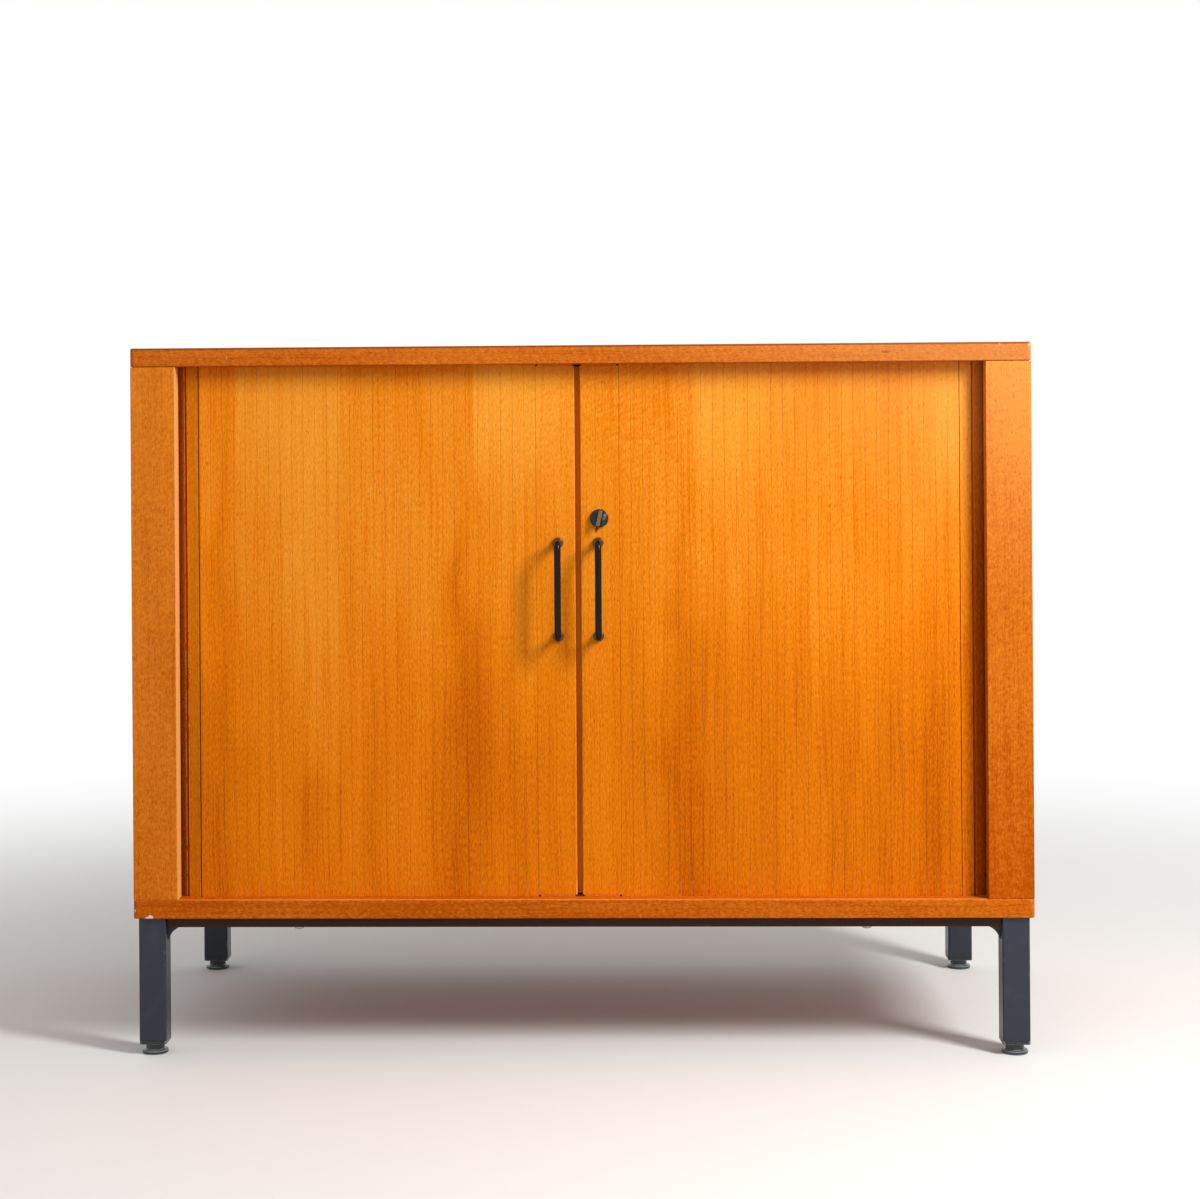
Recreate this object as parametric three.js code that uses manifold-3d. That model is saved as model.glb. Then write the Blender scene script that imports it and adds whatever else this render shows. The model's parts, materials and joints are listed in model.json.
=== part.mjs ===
import * as THREE from 'three';
import { mergeVertices } from 'three/addons/utils/BufferGeometryUtils.js';
import Module from 'manifold-3d';

const wasm = await Module();
wasm.setup();

// Tambour door cabinet on a steel base, in millimetres, +Z up, doors facing -Y.
// X and Y are counted from the middle of the carcass, Z from the floor.

// Overall sizes
const cabinetWidth = 920;
const cabinetDepth = 420;
const carcassHeight = 585;
const floorToCarcass = 141;
const fit = 0.3; // gap between pieces that touch
const overrun = 6; // how far a cut runs past the wood

// Top and bottom panels
const boardThickness = 19;
const boardCornerRadius = 4;
const boardEasing = 0.8;
const panelReveal = 1; // the panels stand this far in front of the stiles
const sideReveal = 0.3; // and this far past the sides

// Sides, stiles, back and inner walls
const sideThickness = 19;
const stileWidth = 46;
const stileThickness = 18;
const stileEasing = 1.5;
const backThickness = 6;
const wallThickness = 12;
const wallSetback = 1.5; // from the end of the corner bend
const pocketClearance = 11.2; // from the side panel to the curtain
const wallClearance = 1.5; // from the curtain to the inner wall

// Tambour curtain and its track
const slatPitch = 12;
const slatSeam = 0.4;
const slatChamfer = 0.2;
const slatThickness = 6;
const canvasThickness = 1;
const slatsRoundCorner = 3; // slats past the end of the straight run
const trackRadius = 35; // at the middle of the groove
const grooveDepth = 9;
const grooveSideClearance = 0.5;
const grooveEndClearance = 0.8;
const grooveStop = 9; // solid wood behind the groove's end
const curtainToStile = 1;
const grooveSteps = 10; // facets round a corner

// Lead rails
const railWidth = 40;
const railThickness = 18;
const railEasing = 1.5;
const railEndClearance = 1.5;
const leftMeetingEdge = -4.5;
const rightMeetingEdge = 1;
const tailClearance = 1.3; // between the glued canvas and the lock barrel
const tongueThickness = 6;
const tongueSetback = 7; // behind the face of the rails
const tongueHold = 6; // length let into the right rail
const tongueReach = 5; // length that enters the left rail
const tongueClearance = 0.8;
const tongueEndGap = 2;

// Wire pulls
const pullHoleSpacing = 96;
const pullCentreHeight = 475.5;
const pullInset = 18; // from the meeting edge of the rail
const pullRodDiameter = 6.8;
const pullProjection = 30;
const pullBendRadius = 6;
const pullBendSteps = 6;
const collarDiameter = 11;
const collarThickness = 3.5;
const pullScrewDiameter = 4;
const pullScrewHeadDiameter = 8;
const pullScrewHeadHeight = 2.4;
const pullScrewDepth = 9; // into the rod
const screwSlotWidth = 1.2;
const screwSlotDepth = 1.1;

// Turn lock
const lockAbovePull = 25; // above the pull's upper post
const lockInset = 19.2; // from the meeting edge of the right rail
const flangeDiameter = 19;
const flangeThickness = 2;
const barrelDiameter = 15;
const barrelWall = 2.5;
const turnDiscDiameter = 17;
const turnDiscThickness = 1.6;
const gripWidth = 5.2;
const gripLength = 16;
const gripHeight = 6.5;
const gripTilt = THREE.MathUtils.degToRad(17);
const lockNutFlats = 20;
const lockNutThickness = 3;
const camThickness = 2;
const camWidth = 14;
const camArcHalfWidth = 3.2; // half the width of the slot for the stud
const camScrewDiameter = 4;
const camScrewHeadDiameter = 8;
const camScrewHeadHeight = 2.2;
const camScrewDepth = 8;

// Striker on the left rail
const strikerStudDiameter = 4.8;
const strikerPlateWidth = 14;
const strikerPlateHeight = 30;
const strikerPlateThickness = 1.5;
const strikerInset = 11; // middle of the stud from the meeting edge
const strikerBehindCam = 2;

// Shelf and its pins
const shelfThickness = 18;
const shelfHeight = 432; // underside of the shelf above the floor
const shelfFrontSetback = 10; // behind the front edge of the inner walls
const shelfSideClearance = 1;
const pinDiameter = 5;
const pinPegDiameter = 7;
const pinPegLength = 9;
const pinDepth = 9;
const pinRowInset = 50; // from the shelf's front and back edges
const pinHoleSpacing = 32;
const pinHolesAbove = 3;
const pinHolesBelow = 3;

// Steel base
const legTube = 28;
const legWall = 2;
const legCornerRadius = 2;
const legInset = 4.5; // from the edge of the panels
const tubeBottom = 15; // open end of the tube above the floor
const railTube = 20; // depth of the base rails
const railDrop = 10; // height of the base rails
const gussetSize = 14;
const gussetThickness = 4;
const insertDepth = 18;
const insertLip = 3.6;
const glideDiscDiameter = 27;
const glideDiscThickness = 4;
const glideNeckDiameter = 19;
const glideStemDiameter = 8;
const glideStemLength = 26;
const glideEdge = 1.2;
const frameScrewDiameter = 5;
const frameScrewHeadDiameter = 10;
const frameScrewHeadHeight = 3;
const frameScrewDepth = 9; // into the bottom panel
const frameScrewInset = 150; // from the middle of each leg

// Places worked out from the sizes above
const halfWidth = cabinetWidth / 2;
const front = -cabinetDepth / 2;
const back = cabinetDepth / 2;
const carcassTop = floorToCarcass + carcassHeight;
const innerBottom = floorToCarcass + boardThickness;
const innerTop = carcassTop - boardThickness;
const sideOuter = halfWidth - sideReveal;
const sideInner = sideOuter - sideThickness;
const stileFront = front + panelReveal;
const stileBack = stileFront + stileThickness;
const backFront = back - backThickness;
const curtainThickness = slatThickness + canvasThickness;
const curtainFront = stileBack + curtainToStile;
const curtainBack = curtainFront + curtainThickness;
const trackFront = curtainFront + curtainThickness / 2;
const trackSide = sideInner - pocketClearance - curtainThickness / 2;
const bendX = trackSide - trackRadius;
const bendY = trackFront + trackRadius;
const grooveWidth = curtainThickness + 2 * grooveSideClearance;
const grooveEnd = back - grooveStop;
const wallOuter = trackSide - curtainThickness / 2 - wallClearance;
const wallInner = wallOuter - wallThickness;
const wallFront = bendY + wallSetback;
const railBack = curtainFront + railThickness;
const tenonLength = grooveDepth - grooveEndClearance;
const canvasFront = curtainFront + slatThickness;
const tongueFront = curtainFront + tongueSetback;
const legCentreX = halfWidth - legInset - legTube / 2;
const legCentreY = back - legInset - legTube / 2;
const pullTop = pullCentreHeight + pullHoleSpacing / 2;
const pullBottom = pullCentreHeight - pullHoleSpacing / 2;
const lockHeight = pullTop + lockAbovePull;
const lockX = rightMeetingEdge + lockInset;
const strikerX = leftMeetingEdge - strikerInset;
const canvasTail = railWidth - lockInset - barrelDiameter / 2 - tailClearance;

// Finishes
const veneer = { color: 0xd67a1c, roughness: 0.38, metalness: 0 };
const stain = { color: 0xb4602a, roughness: 0.45, metalness: 0 };
const innerVeneer = { color: 0xc98a4b, roughness: 0.6, metalness: 0 };
const canvas = { color: 0xd8781a, roughness: 0.42, metalness: 0 };
const bronze = { color: 0x2a2422, roughness: 0.35, metalness: 0.85 };
const steel = { color: 0x9a9c9e, roughness: 0.35, metalness: 0.9 };
const slatePaint = { color: 0x3f454e, roughness: 0.5, metalness: 0.1 };
const blackPlastic = { color: 0x1b1c1e, roughness: 0.55, metalness: 0 };

const cabinet = new THREE.Group();
cabinet.position.y = -(curtainFront - pullProjection + back) / 2; // the middle, pulls counted

function addPiece(name, geometry, finish) {
  const mesh = new THREE.Mesh(geometry, new THREE.MeshStandardMaterial(finish));
  mesh.name = name;
  cabinet.add(mesh);
  return mesh;
}

// A block between two corners.
function block(x0, x1, y0, y1, z0, z1) {
  const box = new THREE.BoxGeometry(x1 - x0, y1 - y0, z1 - z0);
  return box.translate((x0 + x1) / 2, (y0 + y1) / 2, (z0 + z1) / 2);
}

// An outline in plan, pulled up from z0 to z1, with its edges eased if asked.
function upright(shape, z0, z1, easing = 0, curveSegments = 4) {
  const settings = { depth: z1 - z0 - 2 * easing, bevelEnabled: easing > 0, curveSegments };
  settings.bevelThickness = easing;
  settings.bevelSize = easing;
  settings.bevelOffset = -easing;
  settings.bevelSegments = 1;
  return new THREE.ExtrudeGeometry(shape, settings).translate(0, 0, z0 + easing);
}

// A rectangle in plan with its corners rounded.
function roundedRectangle(x0, x1, y0, y1, radius) {
  const shape = new THREE.Shape();
  shape.moveTo(x0 + radius, y0);
  shape.lineTo(x1 - radius, y0);
  shape.absarc(x1 - radius, y0 + radius, radius, -Math.PI / 2, 0);
  shape.lineTo(x1, y1 - radius);
  shape.absarc(x1 - radius, y1 - radius, radius, 0, Math.PI / 2);
  shape.lineTo(x0 + radius, y1);
  shape.absarc(x0 + radius, y1 - radius, radius, Math.PI / 2, Math.PI);
  shape.lineTo(x0, y0 + radius);
  shape.absarc(x0 + radius, y0 + radius, radius, Math.PI, 3 * Math.PI / 2);
  return shape;
}

// A turned piece whose axis is +Y: profile points are [radius, y].
function turnedAlongY(profile, x, z, sides = 24) {
  const points = profile.map(([radius, along]) => new THREE.Vector2(radius, along));
  return new THREE.LatheGeometry(points, sides).translate(x, 0, z);
}

// A turned piece whose axis is +Z: profile points are [radius, z].
function turnedAlongZ(profile, x, y, sides = 24) {
  const points = profile.map(([radius, along]) => new THREE.Vector2(radius, along));
  return new THREE.LatheGeometry(points, sides).rotateX(Math.PI / 2).translate(x, y, 0);
}

// A turned piece whose axis is +X: profile points are [radius, x].
function turnedAlongX(profile, y, z, sides = 24) {
  const points = profile.map(([radius, along]) => new THREE.Vector2(radius, along));
  return new THREE.LatheGeometry(points, sides).rotateZ(-Math.PI / 2).translate(0, y, z);
}

function toSolid(geometry) {
  const bare = geometry.clone();
  bare.deleteAttribute('normal');
  bare.deleteAttribute('uv');
  const merged = mergeVertices(bare, fit / 1000);
  const vertProperties = Float32Array.from(merged.attributes.position.array);
  const triVerts = Uint32Array.from(merged.index.array);
  return new wasm.Manifold(new wasm.Mesh({ numProp: 3, vertProperties, triVerts }));
}

function toGeometry(solid) {
  const mesh = solid.getMesh();
  const geometry = new THREE.BufferGeometry();
  geometry.setAttribute('position', new THREE.BufferAttribute(mesh.vertProperties, 3));
  geometry.setIndex(new THREE.BufferAttribute(mesh.triVerts, 1));
  const flat = geometry.toNonIndexed();
  flat.computeVertexNormals();
  return flat;
}

function cut(geometry, tools) {
  return toGeometry(tools.reduce((solid, tool) => solid.subtract(toSolid(tool)), toSolid(geometry)));
}

function join(geometries) {
  const solids = geometries.map(toSolid);
  return toGeometry(solids.reduce((whole, next) => whole.add(next)));
}

// Mirrors a geometry left to right and turns its faces out again.
function mirrored(geometry) {
  const flipped = (geometry.index ? geometry.toNonIndexed() : geometry.clone()).scale(-1, 1, 1);
  const points = flipped.attributes.position;
  for (let i = 0; i < points.count; i += 3) {
    const corner = new THREE.Vector3().fromBufferAttribute(points, i + 1);
    const other = new THREE.Vector3().fromBufferAttribute(points, i + 2);
    points.setXYZ(i + 1, other.x, other.y, other.z);
    points.setXYZ(i + 2, corner.x, corner.y, corner.z);
  }
  flipped.computeVertexNormals();
  return flipped;
}

function sided(side, geometry) {
  return side < 0 ? geometry : mirrored(geometry);
}

// The groove is one band round the front and both corners, open to the inside of the panel.
function grooveOutline() {
  const outer = trackRadius + grooveWidth / 2;
  const inner = trackRadius - grooveWidth / 2;
  const shape = new THREE.Shape();
  shape.moveTo(-bendX - outer, grooveEnd);
  shape.lineTo(-bendX - outer, bendY);
  shape.absarc(-bendX, bendY, outer, Math.PI, 3 * Math.PI / 2);
  shape.lineTo(bendX, bendY - outer);
  shape.absarc(bendX, bendY, outer, -Math.PI / 2, 0);
  shape.lineTo(bendX + outer, grooveEnd);
  shape.lineTo(bendX + inner, grooveEnd);
  shape.lineTo(bendX + inner, bendY);
  shape.absarc(bendX, bendY, inner, 0, -Math.PI / 2, true);
  shape.lineTo(-bendX, bendY - inner);
  shape.absarc(-bendX, bendY, inner, -Math.PI / 2, -Math.PI, true);
  shape.lineTo(-bendX - inner, grooveEnd);
  return shape;
}

// Screw holes in the bottom panel, where the base is fixed.
function frameScrewPlaces() {
  const places = [];
  for (const sideX of [-1, 1]) {
    for (const sideY of [-1, 1]) {
      places.push([sideX * (legCentreX - frameScrewInset), sideY * legCentreY]);
    }
  }
  return places;
}

function addPanels() {
  const board = () => roundedRectangle(-halfWidth, halfWidth, front, back, boardCornerRadius);
  const topGroove = upright(grooveOutline(), innerTop - overrun, innerTop + grooveDepth, 0, grooveSteps);
  const top = upright(board(), innerTop, carcassTop, boardEasing);
  addPiece('top_panel', cut(top, [topGroove]), stain);

  const bottomGroove = upright(grooveOutline(), innerBottom - grooveDepth, innerBottom + overrun, 0,
    grooveSteps);
  const bottom = upright(board(), floorToCarcass, innerBottom, boardEasing);
  const holes = frameScrewPlaces().map(([x, y]) => {
    const radius = frameScrewDiameter / 2 + fit;
    const depth = floorToCarcass + frameScrewDepth + fit;
    return turnedAlongZ([[0, floorToCarcass - overrun], [radius, floorToCarcass - overrun],
      [radius, depth], [0, depth]], x, y, 12);
  });
  addPiece('bottom_panel', cut(bottom, [bottomGroove, ...holes]), stain);
}

function addSides() {
  const z0 = innerBottom + fit;
  const z1 = innerTop - fit;
  for (const [side, word] of [[-1, 'left'], [1, 'right']]) {
    const panel = block(-sideOuter, -sideInner, stileBack + fit, back, z0, z1);
    addPiece(`${word}_side`, sided(side, panel), stain);
    const stile = upright(roundedRectangle(-sideOuter, -sideOuter + stileWidth, stileFront, stileBack,
      stileEasing), z0, z1, 0, 2);
    addPiece(`${word}_stile`, sided(side, stile), stain);
  }
  const panelBack = block(-sideInner + fit, sideInner - fit, backFront, back, z0, z1);
  addPiece('back_panel', panelBack, innerVeneer);
}

// Shelf pin holes in rows of equal spacing; the row in use carries the shelf.
function pinHeights() {
  const heights = [];
  for (let row = -pinHolesBelow; row <= pinHolesAbove; row += 1) {
    heights.push(shelfHeight - fit - pinPegDiameter / 2 + row * pinHoleSpacing);
  }
  return heights;
}

function pinPlacesY() {
  return [wallFront + shelfFrontSetback + pinRowInset, backFront - fit - pinRowInset];
}

function addInnerWalls() {
  const holeRadius = pinDiameter / 2 + fit;
  const holes = [];
  for (const y of pinPlacesY()) {
    for (const z of pinHeights()) {
      holes.push(turnedAlongX([[0, -wallInner - pinDepth - fit], [holeRadius, -wallInner - pinDepth - fit],
        [holeRadius, -wallInner + overrun], [0, -wallInner + overrun]], y, z, 10));
    }
  }
  const wall = cut(block(-wallOuter, -wallInner, wallFront, backFront - fit, innerBottom + fit,
    innerTop - fit), holes);
  addPiece('left_inner_wall', wall, innerVeneer);
  addPiece('right_inner_wall', mirrored(wall), innerVeneer);
}

function addShelf() {
  const shelfEnd = wallInner - shelfSideClearance;
  const shelf = block(-shelfEnd, shelfEnd, wallFront + shelfFrontSetback, backFront - fit, shelfHeight,
    shelfHeight + shelfThickness);
  addPiece('shelf', shelf, innerVeneer);
  const pegRadius = pinPegDiameter / 2;
  const z = pinHeights()[pinHolesBelow];
  for (const [side, word] of [[-1, 'left'], [1, 'right']]) {
    for (const [index, place] of [[0, 'front'], [1, 'rear']]) {
      const pin = turnedAlongX([[0, -wallInner - pinDepth], [pinDiameter / 2, -wallInner - pinDepth],
        [pinDiameter / 2, -wallInner + fit], [pegRadius, -wallInner + fit],
        [pegRadius, -wallInner + pinPegLength], [0, -wallInner + pinPegLength]], pinPlacesY()[index], z, 16);
      addPiece(`shelf_pin_${word}_${place}`, sided(side, pin), steel);
    }
  }
}

// The curtain follows its canvas: straight, round the corner, then straight back.
function canvasPlace(distance, flatRun, radius) {
  const bendRun = radius * Math.PI / 2;
  if (distance <= flatRun) {
    return { x: -bendX + flatRun - distance, y: bendY - radius, angle: 0 };
  }
  if (distance <= flatRun + bendRun) {
    const angle = (distance - flatRun) / radius;
    return { x: -bendX - radius * Math.sin(angle), y: bendY - radius * Math.cos(angle), angle };
  }
  return { x: -bendX - radius, y: bendY + distance - flatRun - bendRun, angle: Math.PI / 2 };
}

// Plan outline of a left-hand curtain whose lead rail edge is at -railEdge.
function curtainOutline(railEdge) {
  const radius = trackRadius - curtainThickness / 2 + canvasThickness / 2;
  const flatRun = bendX - railEdge - fit;
  const half = slatPitch / 2 - slatSeam / 2;
  const faceOut = slatThickness + canvasThickness / 2;
  const slatCount = Math.round(flatRun / slatPitch) + slatsRoundCorner;
  const outer = [];
  const inner = [];
  for (let i = 0; i < slatCount; i += 1) {
    const place = canvasPlace((i + 1 / 2) * slatPitch, flatRun, radius);
    const at = (along, out) => new THREE.Vector2(
      place.x - along * Math.cos(place.angle) - out * Math.sin(place.angle),
      place.y + along * Math.sin(place.angle) - out * Math.cos(place.angle));
    outer.push(at(-half, canvasThickness / 2));
    outer.push(at(-half, faceOut - slatChamfer));
    outer.push(at(-half + slatChamfer, faceOut));
    outer.push(at(half - slatChamfer, faceOut));
    outer.push(at(half, faceOut - slatChamfer));
    outer.push(at(half, canvasThickness / 2));
    inner.push(at(-half, -canvasThickness / 2));
    inner.push(at(half, -canvasThickness / 2));
  }
  const tailX = -railEdge + canvasTail;
  const tail = [new THREE.Vector2(tailX, canvasFront + canvasThickness),
    new THREE.Vector2(tailX, canvasFront)];
  return new THREE.Shape([...outer, ...inner.reverse(), ...tail]);
}

function addCurtains() {
  const z0 = innerBottom - tenonLength;
  const z1 = innerTop + tenonLength;
  const leftCurtain = upright(curtainOutline(railWidth - leftMeetingEdge), z0, z1);
  addPiece('left_curtain', leftCurtain, canvas);
  const rightCurtain = upright(curtainOutline(railWidth + rightMeetingEdge), z0, z1);
  addPiece('right_curtain', mirrored(rightCurtain), canvas);
}

// Hole for a pull screw or the lock barrel, right through a rail.
function railHole(diameter, x, z) {
  const radius = diameter / 2 + fit;
  return turnedAlongY([[0, curtainFront - overrun], [radius, curtainFront - overrun],
    [radius, railBack + overrun], [0, railBack + overrun]], x, z, 24);
}

function railBlank(x0, x1) {
  const body = upright(roundedRectangle(x0, x1, curtainFront, railBack, railEasing),
    innerBottom + railEndClearance, innerTop - railEndClearance, 0, 2);
  const tenon = block(x0 + railEasing, x1 - railEasing, curtainFront, curtainBack,
    innerBottom - tenonLength, innerTop + tenonLength);
  return join([body, tenon]);
}

function canvasKerf(x0, x1) {
  return block(x0, x1, canvasFront - fit, canvasFront + canvasThickness + fit,
    innerBottom - grooveDepth - overrun, innerTop + grooveDepth + overrun);
}

function tongueSlot(x0, x1, clearance) {
  return block(x0, x1, tongueFront - clearance, tongueFront + tongueThickness + clearance,
    innerBottom - grooveDepth - overrun, innerTop + grooveDepth + overrun);
}

function addLeadRails() {
  const leftOuter = leftMeetingEdge - railWidth;
  const rightOuter = rightMeetingEdge + railWidth;
  const leftPullX = leftMeetingEdge - pullInset;
  const rightPullX = rightMeetingEdge + pullInset;
  const leftCuts = [
    canvasKerf(leftOuter - overrun, leftOuter + canvasTail + fit),
    tongueSlot(leftMeetingEdge - tongueReach - 2 * tongueClearance, leftMeetingEdge + overrun,
      tongueClearance),
    railHole(pullScrewDiameter, leftPullX, pullTop),
    railHole(pullScrewDiameter, leftPullX, pullBottom),
  ];
  addPiece('left_lead_rail', cut(railBlank(leftOuter, leftMeetingEdge), leftCuts), veneer);
  const rightCuts = [
    canvasKerf(rightOuter - canvasTail - fit, rightOuter + overrun),
    tongueSlot(rightMeetingEdge - overrun, rightMeetingEdge + tongueHold + fit, fit),
    railHole(pullScrewDiameter, rightPullX, pullTop),
    railHole(pullScrewDiameter, rightPullX, pullBottom),
    railHole(barrelDiameter, lockX, lockHeight),
  ];
  addPiece('right_lead_rail', cut(railBlank(rightMeetingEdge, rightOuter), rightCuts), veneer);
  const tongue = block(leftMeetingEdge - tongueReach, rightMeetingEdge + tongueHold, tongueFront,
    tongueFront + tongueThickness, innerBottom + tongueEndGap, innerTop - tongueEndGap);
  addPiece('closing_strip', tongue, stain);
}

// A bent rod as rings of points along a path in the YZ plane.
function bentRod(stations, radius, sides = 12) {
  const positions = [];
  for (const { y, z, angle } of stations) {
    for (let k = 0; k < sides; k += 1) {
      const turn = 2 * Math.PI * k / sides;
      const across = radius * Math.cos(turn);
      const out = radius * Math.sin(turn);
      positions.push(across, y - out * Math.sin(angle), z + out * Math.cos(angle));
    }
  }
  const index = [];
  const last = (stations.length - 1) * sides;
  for (let ring = 0; ring < last; ring += sides) {
    for (let k = 0; k < sides; k += 1) {
      const next = (k + 1) % sides;
      index.push(ring + k, ring + sides + k, ring + next);
      index.push(ring + next, ring + sides + k, ring + sides + next);
    }
  }
  for (let k = 1; k < sides - 1; k += 1) {
    index.push(0, k, k + 1);
    index.push(last, last + k + 1, last + k);
  }
  const geometry = new THREE.BufferGeometry();
  geometry.setAttribute('position', new THREE.Float32BufferAttribute(positions, 3));
  geometry.setIndex(index);
  return geometry;
}

// The pull leaves the rail at the top hole, bends down and comes back at the bottom hole.
function pullStations() {
  const barY = curtainFront - pullProjection + pullRodDiameter / 2;
  const stations = [{ y: curtainFront - fit, z: pullTop, angle: Math.PI }];
  for (let i = 0; i <= pullBendSteps; i += 1) {
    const turn = Math.PI / 2 * i / pullBendSteps;
    const y = barY + pullBendRadius - pullBendRadius * Math.sin(turn);
    const z = pullTop - pullBendRadius + pullBendRadius * Math.cos(turn);
    stations.push({ y, z, angle: Math.PI + turn });
  }
  for (let i = 0; i <= pullBendSteps; i += 1) {
    const turn = Math.PI / 2 * i / pullBendSteps;
    const y = barY + pullBendRadius - pullBendRadius * Math.cos(turn);
    const z = pullBottom + pullBendRadius - pullBendRadius * Math.sin(turn);
    stations.push({ y, z, angle: 3 * Math.PI / 2 + turn });
  }
  stations.push({ y: curtainFront - fit, z: pullBottom, angle: 2 * Math.PI });
  return stations;
}

function pullScrew(x, z) {
  const headY = railBack + fit;
  const shank = pullScrewDiameter / 2;
  const head = pullScrewHeadDiameter / 2;
  const screw = turnedAlongY([[0, curtainFront - pullScrewDepth], [shank, curtainFront - pullScrewDepth],
    [shank, headY], [head, headY], [head, headY + pullScrewHeadHeight / 2],
    [head / 2, headY + pullScrewHeadHeight], [0, headY + pullScrewHeadHeight]], x, z, 16);
  const slot = block(x - head - overrun, x + head + overrun,
    headY + pullScrewHeadHeight - screwSlotDepth, headY + pullScrewHeadHeight + overrun,
    z - screwSlotWidth / 2, z + screwSlotWidth / 2);
  return cut(screw, [slot]);
}

function addPull(word, x) {
  const holeRadius = pullScrewDiameter / 2 + fit;
  const holeEnd = curtainFront - pullScrewDepth - fit;
  const threads = [pullTop, pullBottom].map((z) => turnedAlongY([[0, holeEnd], [holeRadius, holeEnd],
    [holeRadius, curtainFront + overrun], [0, curtainFront + overrun]], x, z, 12));
  const rod = bentRod(pullStations(), pullRodDiameter / 2).translate(x, 0, 0);
  addPiece(`${word}_pull`, cut(rod, threads), bronze);
  const inner = pullRodDiameter / 2 + fit;
  const outer = collarDiameter / 2;
  const face = curtainFront - fit;
  for (const [z, place] of [[pullTop, 'upper'], [pullBottom, 'lower']]) {
    const collar = turnedAlongY([[inner, face - collarThickness], [outer - fit, face - collarThickness],
      [outer, face - collarThickness / 2], [outer, face], [inner, face],
      [inner, face - collarThickness]], x, z, 20);
    addPiece(`${word}_pull_collar_${place}`, collar, bronze);
    addPiece(`${word}_pull_screw_${place}`, pullScrew(x, z), steel);
  }
}

// Places along Y through the lock, from the turn grip to the cam.
const flangeBack = curtainFront - fit;
const flangeFront = flangeBack - flangeThickness;
const discBack = flangeFront - fit;
const discFront = discBack - turnDiscThickness;
const barrelBack = railBack + fit + lockNutThickness + fit;
const camFront = barrelBack + fit;
const camBack = camFront + camThickness;
const spindleDiameter = barrelDiameter - 2 * barrelWall - 2 * fit;

function addLock() {
  const bore = barrelDiameter / 2 - barrelWall;
  const barrel = turnedAlongY([[bore, flangeFront], [flangeDiameter / 2 - fit, flangeFront],
    [flangeDiameter / 2, flangeFront + fit], [flangeDiameter / 2, flangeBack],
    [barrelDiameter / 2, flangeBack], [barrelDiameter / 2, barrelBack], [bore, barrelBack],
    [bore, flangeFront]], lockX, lockHeight, 32);
  addPiece('lock_barrel', barrel, bronze);

  const nutHole = barrelDiameter / 2 + fit;
  const nutRadius = lockNutFlats / Math.sqrt(3);
  const nut = turnedAlongY([[0, railBack + fit], [nutRadius, railBack + fit],
    [nutRadius, railBack + fit + lockNutThickness], [0, railBack + fit + lockNutThickness]],
  lockX, lockHeight, 6);
  const nutBore = turnedAlongY([[0, railBack - overrun], [nutHole, railBack - overrun],
    [nutHole, barrelBack + overrun], [0, barrelBack + overrun]], lockX, lockHeight, 24);
  addPiece('lock_nut', cut(nut, [nutBore]), steel);

  addPiece('lock_turn', lockTurn(), bronze);
  addPiece('lock_cam', lockCam(), steel);
  addPiece('cam_screw', camScrew(), steel);
}

// Disc, raised grip and spindle in one, turned on the lock's axis.
function lockTurn() {
  const spindle = spindleDiameter / 2;
  const disc = turnedAlongY([[0, discFront], [turnDiscDiameter / 2 - fit, discFront],
    [turnDiscDiameter / 2, discFront + fit], [turnDiscDiameter / 2, discBack], [spindle, discBack],
    [spindle, barrelBack], [0, barrelBack]], 0, 0, 32);
  const gripShape = roundedRectangle(-gripWidth / 2, gripWidth / 2, -gripLength / 2, gripLength / 2,
    gripWidth / 3);
  const grip = new THREE.ExtrudeGeometry(gripShape, { depth: gripHeight, bevelEnabled: false,
    curveSegments: 3 });
  grip.rotateX(Math.PI / 2).translate(0, discFront + turnDiscThickness / 2, 0);
  grip.rotateY(gripTilt);
  const threadEnd = barrelBack - camScrewDepth - fit;
  const threadRadius = camScrewDiameter / 2 + fit;
  const thread = turnedAlongY([[0, threadEnd], [threadRadius, threadEnd],
    [threadRadius, barrelBack + overrun], [0, barrelBack + overrun]], 0, 0, 12);
  return cut(join([disc, grip]), [thread]).translate(lockX, 0, lockHeight);
}

// The cam hangs down at rest. A slot along an arc about the spindle lets the stud in.
function lockCam() {
  const studRadius = lockX - strikerX;
  const half = camWidth / 2;
  const tip = studRadius + half;
  const slotOuter = studRadius + camArcHalfWidth;
  const slotInner = studRadius - camArcHalfWidth;
  const plate = new THREE.Shape();
  plate.moveTo(-half, 0);
  plate.lineTo(-half, -tip);
  plate.lineTo(half, -tip);
  plate.lineTo(half, 0);
  plate.absarc(0, 0, half, 0, Math.PI);
  const slot = new THREE.Shape();
  const mouth = Math.asin((half + camArcHalfWidth) / slotInner);
  slot.absarc(0, 0, slotOuter, -Math.PI / 2 - mouth, -Math.PI / 2);
  slot.absarc(0, -studRadius, camArcHalfWidth, -Math.PI / 2, Math.PI / 2);
  slot.absarc(0, 0, slotInner, -Math.PI / 2, -Math.PI / 2 - mouth, true);
  const settings = { depth: camThickness, bevelEnabled: false, curveSegments: 10 };
  const body = new THREE.ExtrudeGeometry(plate, settings).rotateX(Math.PI / 2);
  const cutter = new THREE.ExtrudeGeometry(slot, { ...settings, depth: camThickness + 2 * overrun });
  cutter.rotateX(Math.PI / 2).translate(0, overrun, 0);
  const screwHole = camScrewDiameter / 2 + fit;
  const hole = turnedAlongY([[0, -camThickness - overrun], [screwHole, -camThickness - overrun],
    [screwHole, overrun], [0, overrun]], 0, 0, 16);
  return cut(body, [cutter, hole]).translate(lockX, camBack, lockHeight);
}

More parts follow.
